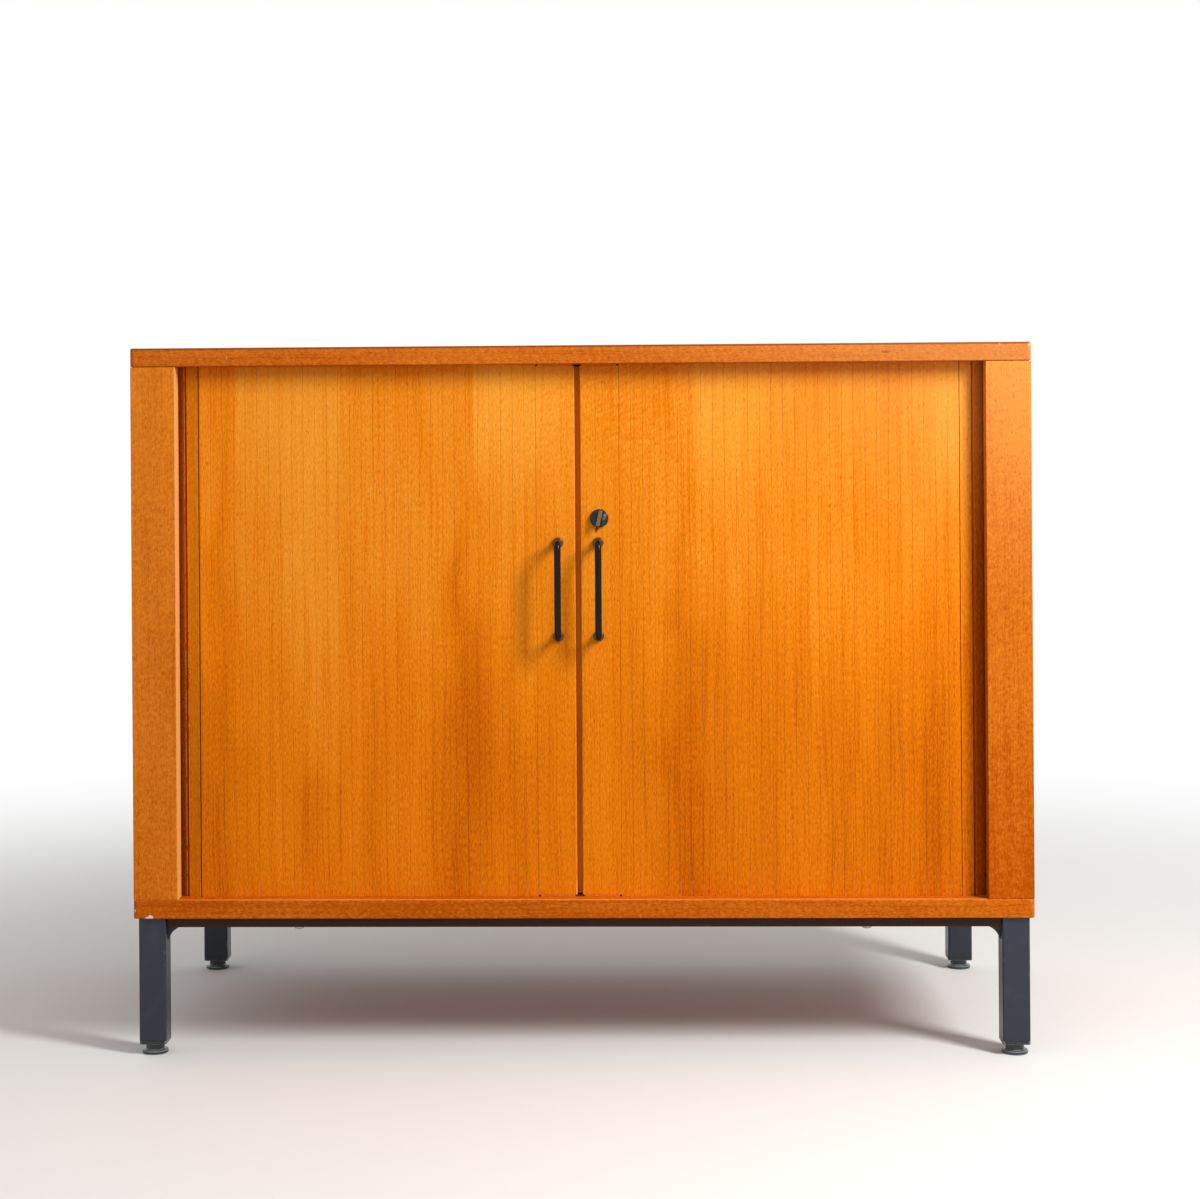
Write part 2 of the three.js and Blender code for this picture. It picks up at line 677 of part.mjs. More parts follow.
function camScrew() {
  const shank = camScrewDiameter / 2;
  const head = camScrewHeadDiameter / 2;
  const headY = camBack + fit;
  return turnedAlongY([[0, barrelBack - camScrewDepth], [shank, barrelBack - camScrewDepth],
    [shank, headY], [head, headY], [head, headY + camScrewHeadHeight / 2],
    [head / 2, headY + camScrewHeadHeight], [0, headY + camScrewHeadHeight]], lockX, lockHeight, 16);
}

// Plate on the back of the left rail, with the stud that the cam hooks over.
function addStriker() {
  const plateBack = railBack + fit + strikerPlateThickness;
  const plate = block(strikerX - strikerPlateWidth / 2, strikerX + strikerPlateWidth / 2,
    railBack + fit, plateBack, lockHeight - strikerPlateHeight / 2, lockHeight + strikerPlateHeight / 2);
  const radius = strikerStudDiameter / 2;
  const studEnd = camBack + strikerBehindCam;
  const stud = turnedAlongY([[0, railBack + fit], [radius, railBack + fit], [radius, studEnd],
    [0, studEnd]], strikerX, lockHeight, 20);
  addPiece('striker', join([plate, stud]), steel);
}

function squareTube(cx, cy, z0, z1) {
  const half = legTube / 2;
  const shape = roundedRectangle(cx - half, cx + half, cy - half, cy + half, legCornerRadius);
  const bore = half - legWall;
  const hole = roundedRectangle(cx - bore, cx + bore, cy - bore, cy + bore, legCornerRadius / 2);
  shape.holes.push(hole);
  return upright(shape, z0, z1, 0, 3);
}

// Plug in the open end of a leg, threaded for the glide.
function legInsert(cx, cy) {
  const half = legTube / 2;
  const plugHalf = half - legWall - fit;
  const lip = upright(roundedRectangle(cx - half, cx + half, cy - half, cy + half, legCornerRadius),
    tubeBottom - fit - insertLip, tubeBottom - fit, 0, 3);
  const plug = upright(roundedRectangle(cx - plugHalf, cx + plugHalf, cy - plugHalf, cy + plugHalf,
    legCornerRadius / 2), tubeBottom - fit - insertLip, tubeBottom + insertDepth, 0, 3);
  const radius = glideStemDiameter / 2 + fit;
  const thread = turnedAlongZ([[0, 0], [radius, 0], [radius, tubeBottom + insertDepth + overrun],
    [0, tubeBottom + insertDepth + overrun]], cx, cy, 16);
  return cut(join([lip, plug]), [thread]);
}

function glide(cx, cy) {
  const disc = glideDiscDiameter / 2;
  const neck = glideNeckDiameter / 2;
  const stem = glideStemDiameter / 2;
  const neckTop = tubeBottom - fit - insertLip - fit;
  return turnedAlongZ([[0, 0], [disc - glideEdge, 0], [disc, glideEdge],
    [disc, glideDiscThickness - glideEdge], [disc - glideEdge, glideDiscThickness],
    [neck, glideDiscThickness + glideEdge], [neck, neckTop], [stem, neckTop],
    [stem, neckTop + glideStemLength], [0, neckTop + glideStemLength]], cx, cy, 32);
}

// A gusset in the XZ plane whose right angle is at the leg and the rail.
function gusset(side, cy) {
  const shape = new THREE.Shape();
  shape.moveTo(0, 0);
  shape.lineTo(gussetSize, 0);
  shape.absarc(gussetSize, -gussetSize, gussetSize, Math.PI / 2, Math.PI);
  shape.lineTo(0, 0);
  const plate = new THREE.ExtrudeGeometry(shape, { depth: gussetThickness, bevelEnabled: false,
    curveSegments: 6 });
  plate.rotateX(Math.PI / 2).translate(-legCentreX + legTube / 2 + fit, cy + gussetThickness / 2,
    floorToCarcass - fit - railDrop - fit);
  return sided(side, plate);
}

function addBase() {
  const top = floorToCarcass - fit;
  const legInner = legCentreX - legTube / 2 - fit;
  const sideInnerY = legCentreY - legTube / 2 - fit;
  const corners = [[-1, -1, 'front_left'], [1, -1, 'front_right'], [-1, 1, 'rear_left'], [1, 1, 'rear_right']];
  for (const [sideX, sideY, word] of corners) {
    const cx = sideX * legCentreX;
    const cy = sideY * legCentreY;
    addPiece(`leg_${word}`, squareTube(cx, cy, tubeBottom, top), slatePaint);
    addPiece(`leg_insert_${word}`, legInsert(cx, cy), blackPlastic);
    addPiece(`glide_${word}`, glide(cx, cy), blackPlastic);
    addPiece(`gusset_${word}`, gusset(sideX, cy), slatePaint);
  }
  const screwHoles = frameScrewPlaces().map(([x, y]) => {
    const radius = frameScrewDiameter / 2 + fit;
    return [y, turnedAlongZ([[0, top - railDrop - overrun], [radius, top - railDrop - overrun],
      [radius, top + overrun], [0, top + overrun]], x, y, 12)];
  });
  for (const [sideY, word] of [[-1, 'front'], [1, 'rear']]) {
    const cy = sideY * legCentreY;
    const rail = block(-legInner, legInner, cy - railTube / 2, cy + railTube / 2, top - railDrop, top);
    const holes = screwHoles.filter(([y]) => y === cy).map(([, hole]) => hole);
    addPiece(`base_rail_${word}`, cut(rail, holes), slatePaint);
  }
  for (const [sideX, word] of [[-1, 'left'], [1, 'right']]) {
    const cx = sideX * legCentreX;
    const rail = block(cx - railTube / 2, cx + railTube / 2, -sideInnerY, sideInnerY, top - railDrop, top);
    addPiece(`base_rail_${word}`, rail, slatePaint);
  }
  frameScrewPlaces().forEach(([x, y], index) => {
    addPiece(`frame_screw_${index + 1}`, frameScrew(x, y), steel);
  });
}

function frameScrew(x, y) {
  const shank = frameScrewDiameter / 2;
  const head = frameScrewHeadDiameter / 2;
  const headTop = floorToCarcass - fit - railDrop - fit;
  return turnedAlongZ([[0, headTop - frameScrewHeadHeight], [head / 2, headTop - frameScrewHeadHeight],
    [head, headTop - frameScrewHeadHeight / 2], [head, headTop], [shank, headTop],
    [shank, floorToCarcass + frameScrewDepth], [0, floorToCarcass + frameScrewDepth]], x, y, 16);
}

addPanels();
addSides();
addInnerWalls();
addShelf();
addCurtains();
addLeadRails();
addPull('left', leftMeetingEdge - pullInset);
addPull('right', rightMeetingEdge + pullInset);
addLock();
addStriker();
addBase();

export default cabinet;
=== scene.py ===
"""Tambour door cabinet: veneered carcass, two slatted doors, wire pulls, a turn lock and a steel base."""

import json
import math

import bmesh
import bpy
from mathutils import Matrix, Vector

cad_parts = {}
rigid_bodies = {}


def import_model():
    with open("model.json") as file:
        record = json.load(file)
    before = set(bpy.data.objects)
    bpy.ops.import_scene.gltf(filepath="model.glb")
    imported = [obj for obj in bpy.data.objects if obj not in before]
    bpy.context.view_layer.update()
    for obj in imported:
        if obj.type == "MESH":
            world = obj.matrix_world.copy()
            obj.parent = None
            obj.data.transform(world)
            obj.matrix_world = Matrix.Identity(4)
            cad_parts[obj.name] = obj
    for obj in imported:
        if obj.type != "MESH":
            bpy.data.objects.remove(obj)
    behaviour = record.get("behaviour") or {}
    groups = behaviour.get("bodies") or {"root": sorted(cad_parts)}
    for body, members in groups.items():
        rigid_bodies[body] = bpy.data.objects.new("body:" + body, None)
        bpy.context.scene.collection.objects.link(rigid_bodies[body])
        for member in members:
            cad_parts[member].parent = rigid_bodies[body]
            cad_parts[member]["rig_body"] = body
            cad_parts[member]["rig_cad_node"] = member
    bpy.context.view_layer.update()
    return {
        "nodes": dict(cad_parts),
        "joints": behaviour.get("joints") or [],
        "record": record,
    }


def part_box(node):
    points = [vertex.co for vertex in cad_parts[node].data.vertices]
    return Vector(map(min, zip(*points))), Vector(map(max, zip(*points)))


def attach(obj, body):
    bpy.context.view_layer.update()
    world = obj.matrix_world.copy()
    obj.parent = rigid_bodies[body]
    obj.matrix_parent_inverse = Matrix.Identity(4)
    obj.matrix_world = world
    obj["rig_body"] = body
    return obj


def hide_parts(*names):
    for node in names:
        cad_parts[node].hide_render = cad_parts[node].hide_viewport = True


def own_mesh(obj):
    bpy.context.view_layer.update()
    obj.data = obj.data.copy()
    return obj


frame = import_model()

bl_info = {
    "name": "Tambour Door Cabinet",
    "version": (1, 0, 0),
    "blender": (4, 5, 0),
    "location": "3D View > Sidebar > Cabinet",
    "description": "Veneer, slats, metal and paint for a cabinet with two sliding tambour doors",
    "category": "Object",
}

MM = 0.001
BODY_OF = {
    node: body
    for body, members in frame["record"]["behaviour"]["bodies"].items()
    for node in members
}
SIDES = (("left", -1), ("right", 1))
CORNERS = ("front_left", "front_right", "rear_left", "rear_right")
AXES = {"X": Vector((1, 0, 0)), "Y": Vector((0, 1, 0)), "Z": Vector((0, 0, 1))}
TURN_TO = {"X": (0, math.radians(90), 0), "Y": (math.radians(90), 0, 0), "Z": (0, 0, 0)}
SHARP_ANGLE = 34  # degrees between two faces that meet in an edge to be seen
NEARLY = 0.1 * MM  # two places closer than this count as one
MERGE_DISTANCE = 0.01 * MM  # corners closer than this become one
CLEARANCE = 0.3 * MM  # between pieces that fit into each other
PARALLEL = 0.999  # cosine from which two directions count as the same
SQUARE = 0.9995  # cosine from which a face counts as square to an axis
SIDEWAYS = 0.05  # cosine under which a face looks straight out from an axis


# Properties

def paint(red, green, blue):
    """A colour written as sRGB bytes, as Blender's linear values."""
    parts = [value / 255 for value in (red, green, blue)]
    return [part / 12.92 if part <= 0.04045 else ((part + 0.055) / 1.055) ** 2.4 for part in parts]


def number_property(name, description, default, **options):
    return bpy.props.FloatProperty(name=name, description=description, default=default, **options)


def length_property(name, description, millimetres):
    return number_property(name, description, millimetres * MM, unit="LENGTH")


def angle_property(name, description, degrees):
    return number_property(name, description, math.radians(degrees), subtype="ANGLE")


def count_property(name, description, default):
    return bpy.props.IntProperty(name=name, description=description, default=default)


def vector_property(name, description, default, **options):
    return bpy.props.FloatVectorProperty(
        name=name, description=description, default=default, size=len(default), **options
    )


def colour_property(name, description, *srgb):
    return vector_property(name, description, paint(*srgb), subtype="COLOR", min=0, max=1)


class CabinetSizes(bpy.types.PropertyGroup):
    """Small sizes that the fine shapes have and the CAD nodes don't give."""

    panel_easing: length_property("Panel easing", "Rounding of the top and bottom panels' edges", 1.2)
    panel_corner: length_property("Panel corner", "Rounding of the panels' upright corners", 4)
    stile_easing: length_property("Stile easing", "Rounding of the stiles' upright edges", 1.5)
    rail_easing: length_property("Rail easing", "Rounding of the lead rails' upright edges", 1.3)
    board_easing: length_property("Board easing", "Rounding of the inner boards' edges", 0.6)
    slat_pitch: length_property("Slat pitch", "From one slat of a curtain to the next", 12)
    slat_seam: length_property("Slat seam", "Gap between two slats", 0.1)
    slat_easing: length_property("Slat easing", "Rounding of the slats' upright edges", 0.22)
    slat_thickness: length_property("Slat thickness", "Thickness of a slat without its canvas", 6)
    canvas_thickness: length_property("Canvas thickness", "Cloth that the slats are glued to", 1)
    track_radius: length_property("Track radius", "Bend of the groove at its middle", 35)
    wall_gap: length_property("Wall gap", "From the inner wall to the curtain", 1.5)
    groove_side: length_property("Groove side", "Play of a curtain in its groove", 0.5)
    groove_depth: length_property("Groove depth", "Depth of the grooves in both panels", 9)
    groove_stop: length_property("Groove stop", "Solid wood behind the end of a groove", 9)
    rod_bend: length_property("Rod bend", "Bend radius of the wire pulls", 6)
    tube_corner: length_property("Tube corner", "Rounding of the square tube", 2)
    tube_wall: length_property("Tube wall", "Wall of the square tube", 2)
    metal_easing: length_property("Metal easing", "Rounding of turned and cut metal edges", 0.35)
    leaf_joints: vector_property(
        "Leaf joints", "Where the leaves of veneer meet", (-0.355, -0.109, 0.117, 0.364), unit="LENGTH"
    )


class CabinetColours(bpy.types.PropertyGroup):
    """Colours of the finishes."""

    door_light: colour_property("Door light", "Lightest veneer of the doors", 255, 172, 58)
    door_middle: colour_property("Door middle", "Usual veneer of the doors", 238, 130, 12)
    door_deep: colour_property("Door deep", "Darkest veneer of the doors", 186, 80, 0)
    # Painted shade: colour of the first slat in the left bend, which turns away from the light
    shaded_turned_slat: colour_property("Turned slat", "First slat of the left bend", 176, 116, 6)
    carcass_light: colour_property("Carcass light", "Light streaks of the stiles and panels", 240, 138, 38)
    carcass_deep: colour_property("Carcass deep", "Dark streaks of the stiles and panels", 184, 80, 0)
    # Rubbed edges, and also painted highlights and painted sheen: the left stile's inner face, the edges in
    # the left bend, the bottom panel's top front strip and high on the right
    worn_and_lit_wood: colour_property("Worn wood", "Rubbed edges of the veneer", 255, 188, 108)
    pore: colour_property("Pores", "Open pores of the veneer", 120, 50, 2)
    inner_wood: colour_property("Inner wood", "Plain veneer inside", 206, 150, 92)
    strip_wood: colour_property("Strip wood", "Closing strip between the lead rails", 214, 136, 8)
    canvas_cloth: colour_property("Canvas", "Cloth behind the slats", 186, 168, 132)
    bronze: colour_property("Bronze", "Dark metal of the pulls", 26, 23, 23)
    lock_metal: colour_property("Lock metal", "Grey metal of the lock", 50, 54, 56)
    grip_metal: colour_property("Grip metal", "Rubbed metal of the turn grip", 130, 104, 80)
    zinc: colour_property("Zinc", "Plated steel", 168, 170, 172)
    slate: colour_property("Slate", "Paint of the steel base", 36, 43, 57)
    # Painted shade: the rails' paint darkened and browned for the shadow under the bottom panel and the warm
    # light thrown up from the floor
    rail_shade: colour_property("Rail grime", "Grimy paint of the base rails", 64, 38, 24)
    plastic: colour_property("Plastic", "Black moulded plastic", 24, 26, 30)
    collar_metal: colour_property("Collar metal", "Rubbed bronze of the collars", 96, 74, 58)
    floor: colour_property("Floor", "Floor under the object", 240, 238, 234)
    floor_bounce: colour_property("Floor bounce", "Light that the floor throws back", 176, 158, 138)


def sizes():
    return bpy.context.scene.cabinet_sizes


def colours():
    return bpy.context.scene.cabinet_colours


# Selecting and shaping

def select_only(piece):
    bpy.ops.object.select_all(action="DESELECT")
    piece.select_set(True)
    bpy.context.view_layer.objects.active = piece


def apply_place():
    """Writes the selected object's place, turn and size into its mesh."""
    bpy.ops.object.transform_apply(location=True, rotation=True, scale=True)


def add_block(name, corner, opposite):
    """A block between two opposite corners, as a start for sawn wood or cut metal."""
    bpy.ops.object.select_all(action="DESELECT")
    bpy.ops.mesh.primitive_cube_add(size=1, location=[(a + b) / 2 for a, b in zip(corner, opposite)])
    piece = bpy.context.object
    piece.scale = [abs(b - a) for a, b in zip(corner, opposite)]
    apply_place()
    piece.name = name
    return piece


def pick(piece, kind, test):
    """Goes into edit mode with only the edges or faces selected that the test accepts."""
    select_only(piece)
    bpy.ops.object.mode_set(mode="EDIT")
    bpy.ops.mesh.select_mode(type=kind)
    bpy.ops.mesh.select_all(action="DESELECT")
    mesh = bmesh.from_edit_mesh(piece.data)
    for item in mesh.edges if kind == "EDGE" else mesh.faces:
        item.select_set(test(item))
    bmesh.update_edit_mesh(piece.data)


def leave_edit():
    bpy.ops.object.mode_set(mode="OBJECT")


def push_out(move):
    """Extrudes the selected faces."""
    bpy.ops.mesh.extrude_region_move(TRANSFORM_OT_translate={"value": move})


def runs_along(axis):
    """A test for edges that run along an axis."""
    def test(edge):
        run = edge.verts[1].co - edge.verts[0].co
        return abs(run.normalized().dot(AXES[axis])) > PARALLEL
    return test


def is_sharp(edge):
    return edge.is_manifold and edge.calc_face_angle() > math.radians(SHARP_ANGLE)


def ends_at(x):
    """A test for the upright end faces at one place along X."""
    return lambda face: abs(face.normal.x) > PARALLEL and abs(face.calc_center_median().x - x) < NEARLY


def ease(piece, width, test, steps, profile=0.5):
    """Rounds the edges that the test accepts; a profile under a quarter hollows them."""
    pick(piece, "EDGE", test)
    bpy.ops.mesh.bevel(offset=width, segments=steps, profile=profile, affect="EDGES")
    leave_edit()


def turn_faces_out(piece):
    pick(piece, "FACE", lambda face: True)
    bpy.ops.mesh.normals_make_consistent(inside=False)
    leave_edit()


def apply_modifier(piece, kind, **settings):
    select_only(piece)
    bpy.ops.object.modifier_add(type=kind)
    modifier = piece.modifiers[-1]
    for name, value in settings.items():
        setattr(modifier, name, value)
    bpy.ops.object.modifier_apply(modifier=modifier.name)


def combine(piece, other, operation):
    """Cuts a second shape out of a piece, or joins it on, and removes it."""
    apply_modifier(piece, "BOOLEAN", operation=operation, solver="EXACT", object=other)
    bpy.data.objects.remove(other)


def combine_block(piece, operation, corner, opposite):
    combine(piece, add_block("block", corner, opposite), operation)


def join_pieces(name, parts):
    """Several loose parts as one piece."""
    select_only(parts[0])
    for part in parts[1:]:
        part.select_set(True)
    bpy.ops.object.join()
    parts[0].name = name
    return parts[0]


def turned_about(centre, angle, axis):
    return Matrix.Translation(centre) @ Matrix.Rotation(angle, 4, axis) @ Matrix.Translation(-centre)


def start_circle(name, axis, place, radius, sides, filled=True):
    """A circle left in edit mode with all of it selected, for a turned or bent piece to grow from."""
    bpy.ops.object.select_all(action="DESELECT")
    bpy.ops.mesh.primitive_circle_add(
        vertices=sides,
        radius=radius,
        fill_type="NGON" if filled else "NOTHING",
        location=place,
        rotation=TURN_TO[axis],
    )
    piece = bpy.context.object
    piece.name = name
    apply_place()
    bpy.ops.object.mode_set(mode="EDIT")
    bpy.ops.mesh.select_mode(type="FACE" if filled else "EDGE")
    bpy.ops.mesh.select_all(action="SELECT")
    return piece


def add_turned(name, axis, centre, profile, sides=48, hollow=False):
    """A turned piece: the profile gives radius and place along the axis, as a lathe would cut them."""
    along = AXES[axis]
    across = Vector(centre) - along * along.dot(Vector(centre))
    first_radius, first_place = profile[0]
    piece = start_circle(name, axis, across + along * first_place, first_radius, sides, not hollow)
    for (radius, place), (next_radius, next_place) in zip(profile, profile[1:]):
        move = along * (next_place - place)
        if hollow:
            bpy.ops.mesh.extrude_edges_move(TRANSFORM_OT_translate={"value": move})
        else:
            push_out(move)
        ratio = next_radius / radius
        bpy.ops.transform.resize(
            value=[1 if part else ratio for part in along],
            center_override=across + along * next_place,
        )
    if hollow:
        bpy.ops.mesh.select_all(action="DESELECT")
        bpy.ops.mesh.select_non_manifold()
        bpy.ops.mesh.bridge_edge_loops()
    leave_edit()
    turn_faces_out(piece)
    return piece


def mark_arrises(piece, turned_on):
    """Marks the narrow rounded faces, where hands and cloths rub the finish away."""
    mark = piece.data.attributes.new("arris", "FLOAT", "FACE")
    for face, value in zip(piece.data.polygons, mark.data):
        flat = max(abs(part) for part in face.normal) > SQUARE
        barrel = turned_on and abs(face.normal.dot(AXES[turned_on])) < SIDEWAYS
        value.value = 0.0 if flat or barrel else 1.0


def settle(piece, angle=SHARP_ANGLE, worn=True, turned_on=None):
    """Smooths what is rounded, keeps flat faces flat and marks the arrises."""
    select_only(piece)
    bpy.ops.object.shade_smooth_by_angle(angle=math.radians(angle))
    apply_modifier(piece, "WEIGHTED_NORMAL", keep_sharp=True)
    if worn:
        mark_arrises(piece, turned_on)


def finish(name):
    return bpy.data.materials[name]


def surface(piece, material, **settling):
    """Smooths a piece and gives it its finish."""
    settle(piece, **settling)
    piece.data.materials.append(finish(material))


def stand_for(piece, nodes):
    """Puts a finished piece in its nodes' place, on their body."""
    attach(piece, BODY_OF[nodes[0]])
    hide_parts(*nodes)


def complete(piece, node, slot, material, **settling):
    """The last steps of a piece: it is smoothed, finished and put in its node's place."""
    surface(piece, material, **settling)
    stand_for(piece, [node])


def add_board(node, easing, steps=3):
    """A sawn board the size of its node, with every edge eased."""
    low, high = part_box(node)
    board = add_block(f"{node}_board", low, high)
    ease(board, easing, lambda edge: True, steps)
    return board


# Shader building blocks

class Value:
    """An output in a shader tree that can be added, multiplied and so on, as a number can."""

    def __init__(self, socket):
        self.socket = socket
        self.tree = socket.id_data

    def __add__(self, other):
        return calc("ADD", self, other)

    def __sub__(self, other):
        return calc("SUBTRACT", self, other)

    def __rsub__(self, other):
        return calc("SUBTRACT", other, self)

    def __mul__(self, other):
        return calc("MULTIPLY", self, other)

    def __truediv__(self, other):
        return calc("DIVIDE", self, other)

    def __rtruediv__(self, other):
        return calc("DIVIDE", other, self)


def feed(value, socket):
    """Gives a socket a link or a fixed value."""
    if isinstance(value, Value):
        value.tree.links.new(value.socket, socket)
    else:
        socket.default_value = value


def calc(operation, *values):
    tree = next(value.tree for value in values if isinstance(value, Value))
    node = tree.nodes.new("ShaderNodeMath")
    node.operation = operation
    for value, socket in zip(values, node.inputs):
        feed(value, socket)
    return Value(node.outputs[0])


def clamped(result):
    """Holds the result of a sum between 0 and 1."""
    result.socket.node.use_clamp = True
    return result


def vector_calc(operation, first, second):
    node = first.tree.nodes.new("ShaderNodeVectorMath")
    node.operation = operation
    feed(first, node.inputs[0])
    feed(second, node.inputs[1])
    return Value(node.outputs["Value" if operation == "DISTANCE" else "Vector"])


def parts_of(vector):
    """The X, Y and Z of a vector."""
    node = vector.tree.nodes.new("ShaderNodeSeparateXYZ")
    feed(vector, node.inputs["Vector"])
    return [Value(socket) for socket in node.outputs]


def ramp(value, start, end, low=0.0, high=1.0):
    """Goes smoothly from low to high as the value goes from start to end."""
    node = value.tree.nodes.new("ShaderNodeMapRange")
    node.interpolation_type = "SMOOTHSTEP"
    for socket, setting in zip(node.inputs, (value, start, end, low, high)):
        feed(setting, socket)
    return Value(node.outputs["Result"])


def noise(place, stretch, detail=2.0):
    """Noise between 0 and 1 with its own fineness along each axis, in waves a metre."""
    node = place.tree.nodes.new("ShaderNodeTexNoise")
    feed(vector_calc("MULTIPLY", place, stretch), node.inputs["Vector"])
    node.inputs["Scale"].default_value = 1
    node.inputs["Detail"].default_value = detail
    return Value(node.outputs["Fac"])


def drift(place, stretch, detail=2.0):
    """The same noise with its middle at zero."""
    return noise(place, stretch, detail) - 0.5


def turned_place(place, turn):
    """The coordinates turned, so that grain that runs along Z runs along another axis."""
    node = place.tree.nodes.new("ShaderNodeMapping")
    node.inputs["Rotation"].default_value = turn
    feed(place, node.inputs["Vector"])
    return Value(node.outputs["Vector"])


def mix(amount, first, second):
    """The first colour where the amount is 0, the second where it is 1."""
    node = amount.tree.nodes.new("ShaderNodeMix")
    node.data_type = "RGBA"
    node.clamp_factor = True
    feed(amount, node.inputs[0])
    for value, socket in ((first, node.inputs[6]), (second, node.inputs[7])):
        feed(value if isinstance(value, Value) else [*value, 1], socket)
    return Value(node.outputs[2])


def mix_shaders(amount, first, second, result):
    """The same with two shaders, whose mix goes to the surface of the result."""
    node = amount.tree.nodes.new("ShaderNodeMixShader")
    for value, socket in zip((amount, Value(first.outputs[0]), Value(second.outputs[0])), node.inputs):
        feed(value, socket)
    feed(Value(node.outputs[0]), result.inputs["Surface"])


def new_group(name, inputs, *outputs):
    """An empty node group. An input without a default is a vector, and the others are numbers."""
    tree = bpy.data.node_groups.new(name, "ShaderNodeTree")
    for label, default in inputs.items():
        kind = "NodeSocketVector" if default is None else "NodeSocketFloat"
        socket = tree.interface.new_socket(name=label, in_out="INPUT", socket_type=kind)
        if default is not None:
            socket.default_value = default
    for label in outputs:
        tree.interface.new_socket(name=label, in_out="OUTPUT", socket_type="NodeSocketFloat")
    given = tree.nodes.new("NodeGroupInput").outputs
    result = tree.nodes.new("NodeGroupOutput").inputs
    return [Value(given[label]) for label in inputs], [result[label] for label in outputs]


def use_group(name, place, **values):
    """Places a shared effect in a material with its own values, and gives what comes out of it."""
    node = place.tree.nodes.new("ShaderNodeGroup")
    node.node_tree = bpy.data.node_groups[name]
    feed(place, node.inputs["Position"])
    for label, value in values.items():
        feed(value, node.inputs[label])
    return [Value(socket) for socket in node.outputs]


def build_wood_grain():
    """Wavy figure, fine flecks and short open pores that run along Z."""
    inputs = {"Position": None, "Waviness": 0.006, "Streaks": 1.0, "Flecks": 1.0, "Mottle": 1.0, "Curl": 0.0}
    given, (tone, pores, height) = new_group("wood_grain", inputs, "Tone", "Pores", "Height")
    place, waviness, streaks, flecks, mottle, curl = given
    sway = place.tree.nodes.new("ShaderNodeCombineXYZ")
    feed(drift(place, (8, 8, 3.4)) * waviness, sway.inputs["X"])
    wavy = vector_calc("ADD", place, Value(sway.outputs["Vector"]))
    lean = turned_place(place, (0, math.radians(24), 0))
    fine = drift(wavy, (800, 800, 210))
    lines = ramp(noise(wavy, (520, 520, 6.5)), 0.52, 0.64)
    holes = ramp(noise(wavy, (1000, 1000, 190), 1), 0.60, 0.74)
    broad = drift(wavy, (95, 95, 3.5), 4) * streaks + drift(wavy, (20, 20, 4.2)) * mottle
    small = fine * flecks + drift(lean, (80, 80, 330), 1) * curl
    feed(broad + small - lines * flecks * 0.14, tone)
    feed(holes, pores)
    feed(fine - holes * 0.8, height)


def build_leaf_joint():
    """Where two leaves of veneer meet: a pale flare above, a soft dark flame that widens downwards."""
    inputs = {"Position": None, "Joint": 0.0, "Flare": 1.0, "Shade": 1.0}
    (place, joint, flare, shade), (tone,) = new_group("leaf_joint", inputs, "Tone")
    x, _, height = parts_of(place)
    past = x - joint
    inside = past - clamped(0.60 - height) * 0.15
    softness = ramp(height, 0.64, 0.46, 0.0012, 0.018)
    glow = clamped(inside / softness) * ramp(past, 0.135, 0.06) * ramp(height, 0.53, 0.66)
    centre = drift(place, (5, 5, 11)) * 0.07 + (past + 0.010)
    ratio = centre / ramp(height, 0.60, 0.26, 0.005, 0.027)
    bell = 1 / (ratio * ratio + 1)
    feed(glow * flare - bell * ramp(height, 0.68, 0.44) * shade, tone)


def build_arris_patches():
    """Patchy wear on the marked narrow edges, which the doors also use for a painted highlight in the left
    bend.
    """
    (place, amount), (wear,) = new_group("arris_patches", {"Position": None, "Amount": 0.5}, "Wear")
    mark = place.tree.nodes.new("ShaderNodeAttribute")
    mark.attribute_name = "arris"
    edge = 0.78 - amount * 0.55
    patches = ramp(noise(place, (90, 90, 90), 4), edge, edge + 0.12)
    feed(Value(mark.outputs["Fac"]) * patches, wear)


def build_chip():
    """A small chip around a place, with a ragged outline."""
    inputs = {"Position": None, "Place": None, "Radius": 0.003}
    (place, middle, radius), (chip,) = new_group("chip", inputs, "Chip")
    away = drift(place, (500, 500, 500)) * (radius * 1.3) + vector_calc("DISTANCE", place, middle)
    feed(ramp(away, radius, radius * 0.8), chip)


def build_soft_box():
    """A region between two corners, soft over a small width."""
    inputs = {"Position": None, "Low": None, "High": None, "Softness": 0.0008}
    (place, low, high, softness), (mask,) = new_group("soft_box", inputs, "Mask")
    above = vector_calc("SUBTRACT", place, low)
    below = vector_calc("SUBTRACT", high, place)
    x, y, z = parts_of(vector_calc("MINIMUM", above, below))
    feed(clamped(calc("MINIMUM", calc("MINIMUM", x, y), z) / softness), mask)


def build_cast_skin():
    """Fine unevenness of paint, plating and moulded plastic, with faint scuffs."""
    inputs = {"Position": None, "Grain": 900.0}
    (place, grain), (speckle, scuff) = new_group("cast_skin", inputs, "Speckle", "Scuff")
    feed(noise(vector_calc("MULTIPLY", place, grain), (1, 1, 1), 3), speckle)
    feed(ramp(noise(place, (60, 60, 38), 5), 0.5, 0.72), scuff)


# Finishes

UPRIGHT_GRAIN = (0, 0, 0)
CROSS_GRAIN = (0, math.radians(90), 0)

# How pale and how dark each leaf joint of the doors is
JOINT_FLARES = (0.15, 0.24, 0.18, 0.20)
JOINT_SHADES = (0.14, 0.24, 0.22, 0.12)

# About where the first and the second slat of a bend start, along X
FIRST_BEND = 0.3895
SECOND_BEND = 0.4025

# Strips of the doors in shadow: where each starts, where it is full, and how much darker it is
SHADED_STRIPS = (
    (SECOND_BEND, 0.4055, 0.26),
    (-SECOND_BEND, -0.4055, 0.06),
    (-0.345, -0.365, 0.08),
    (-FIRST_BEND, -0.3910, 0.06),
)


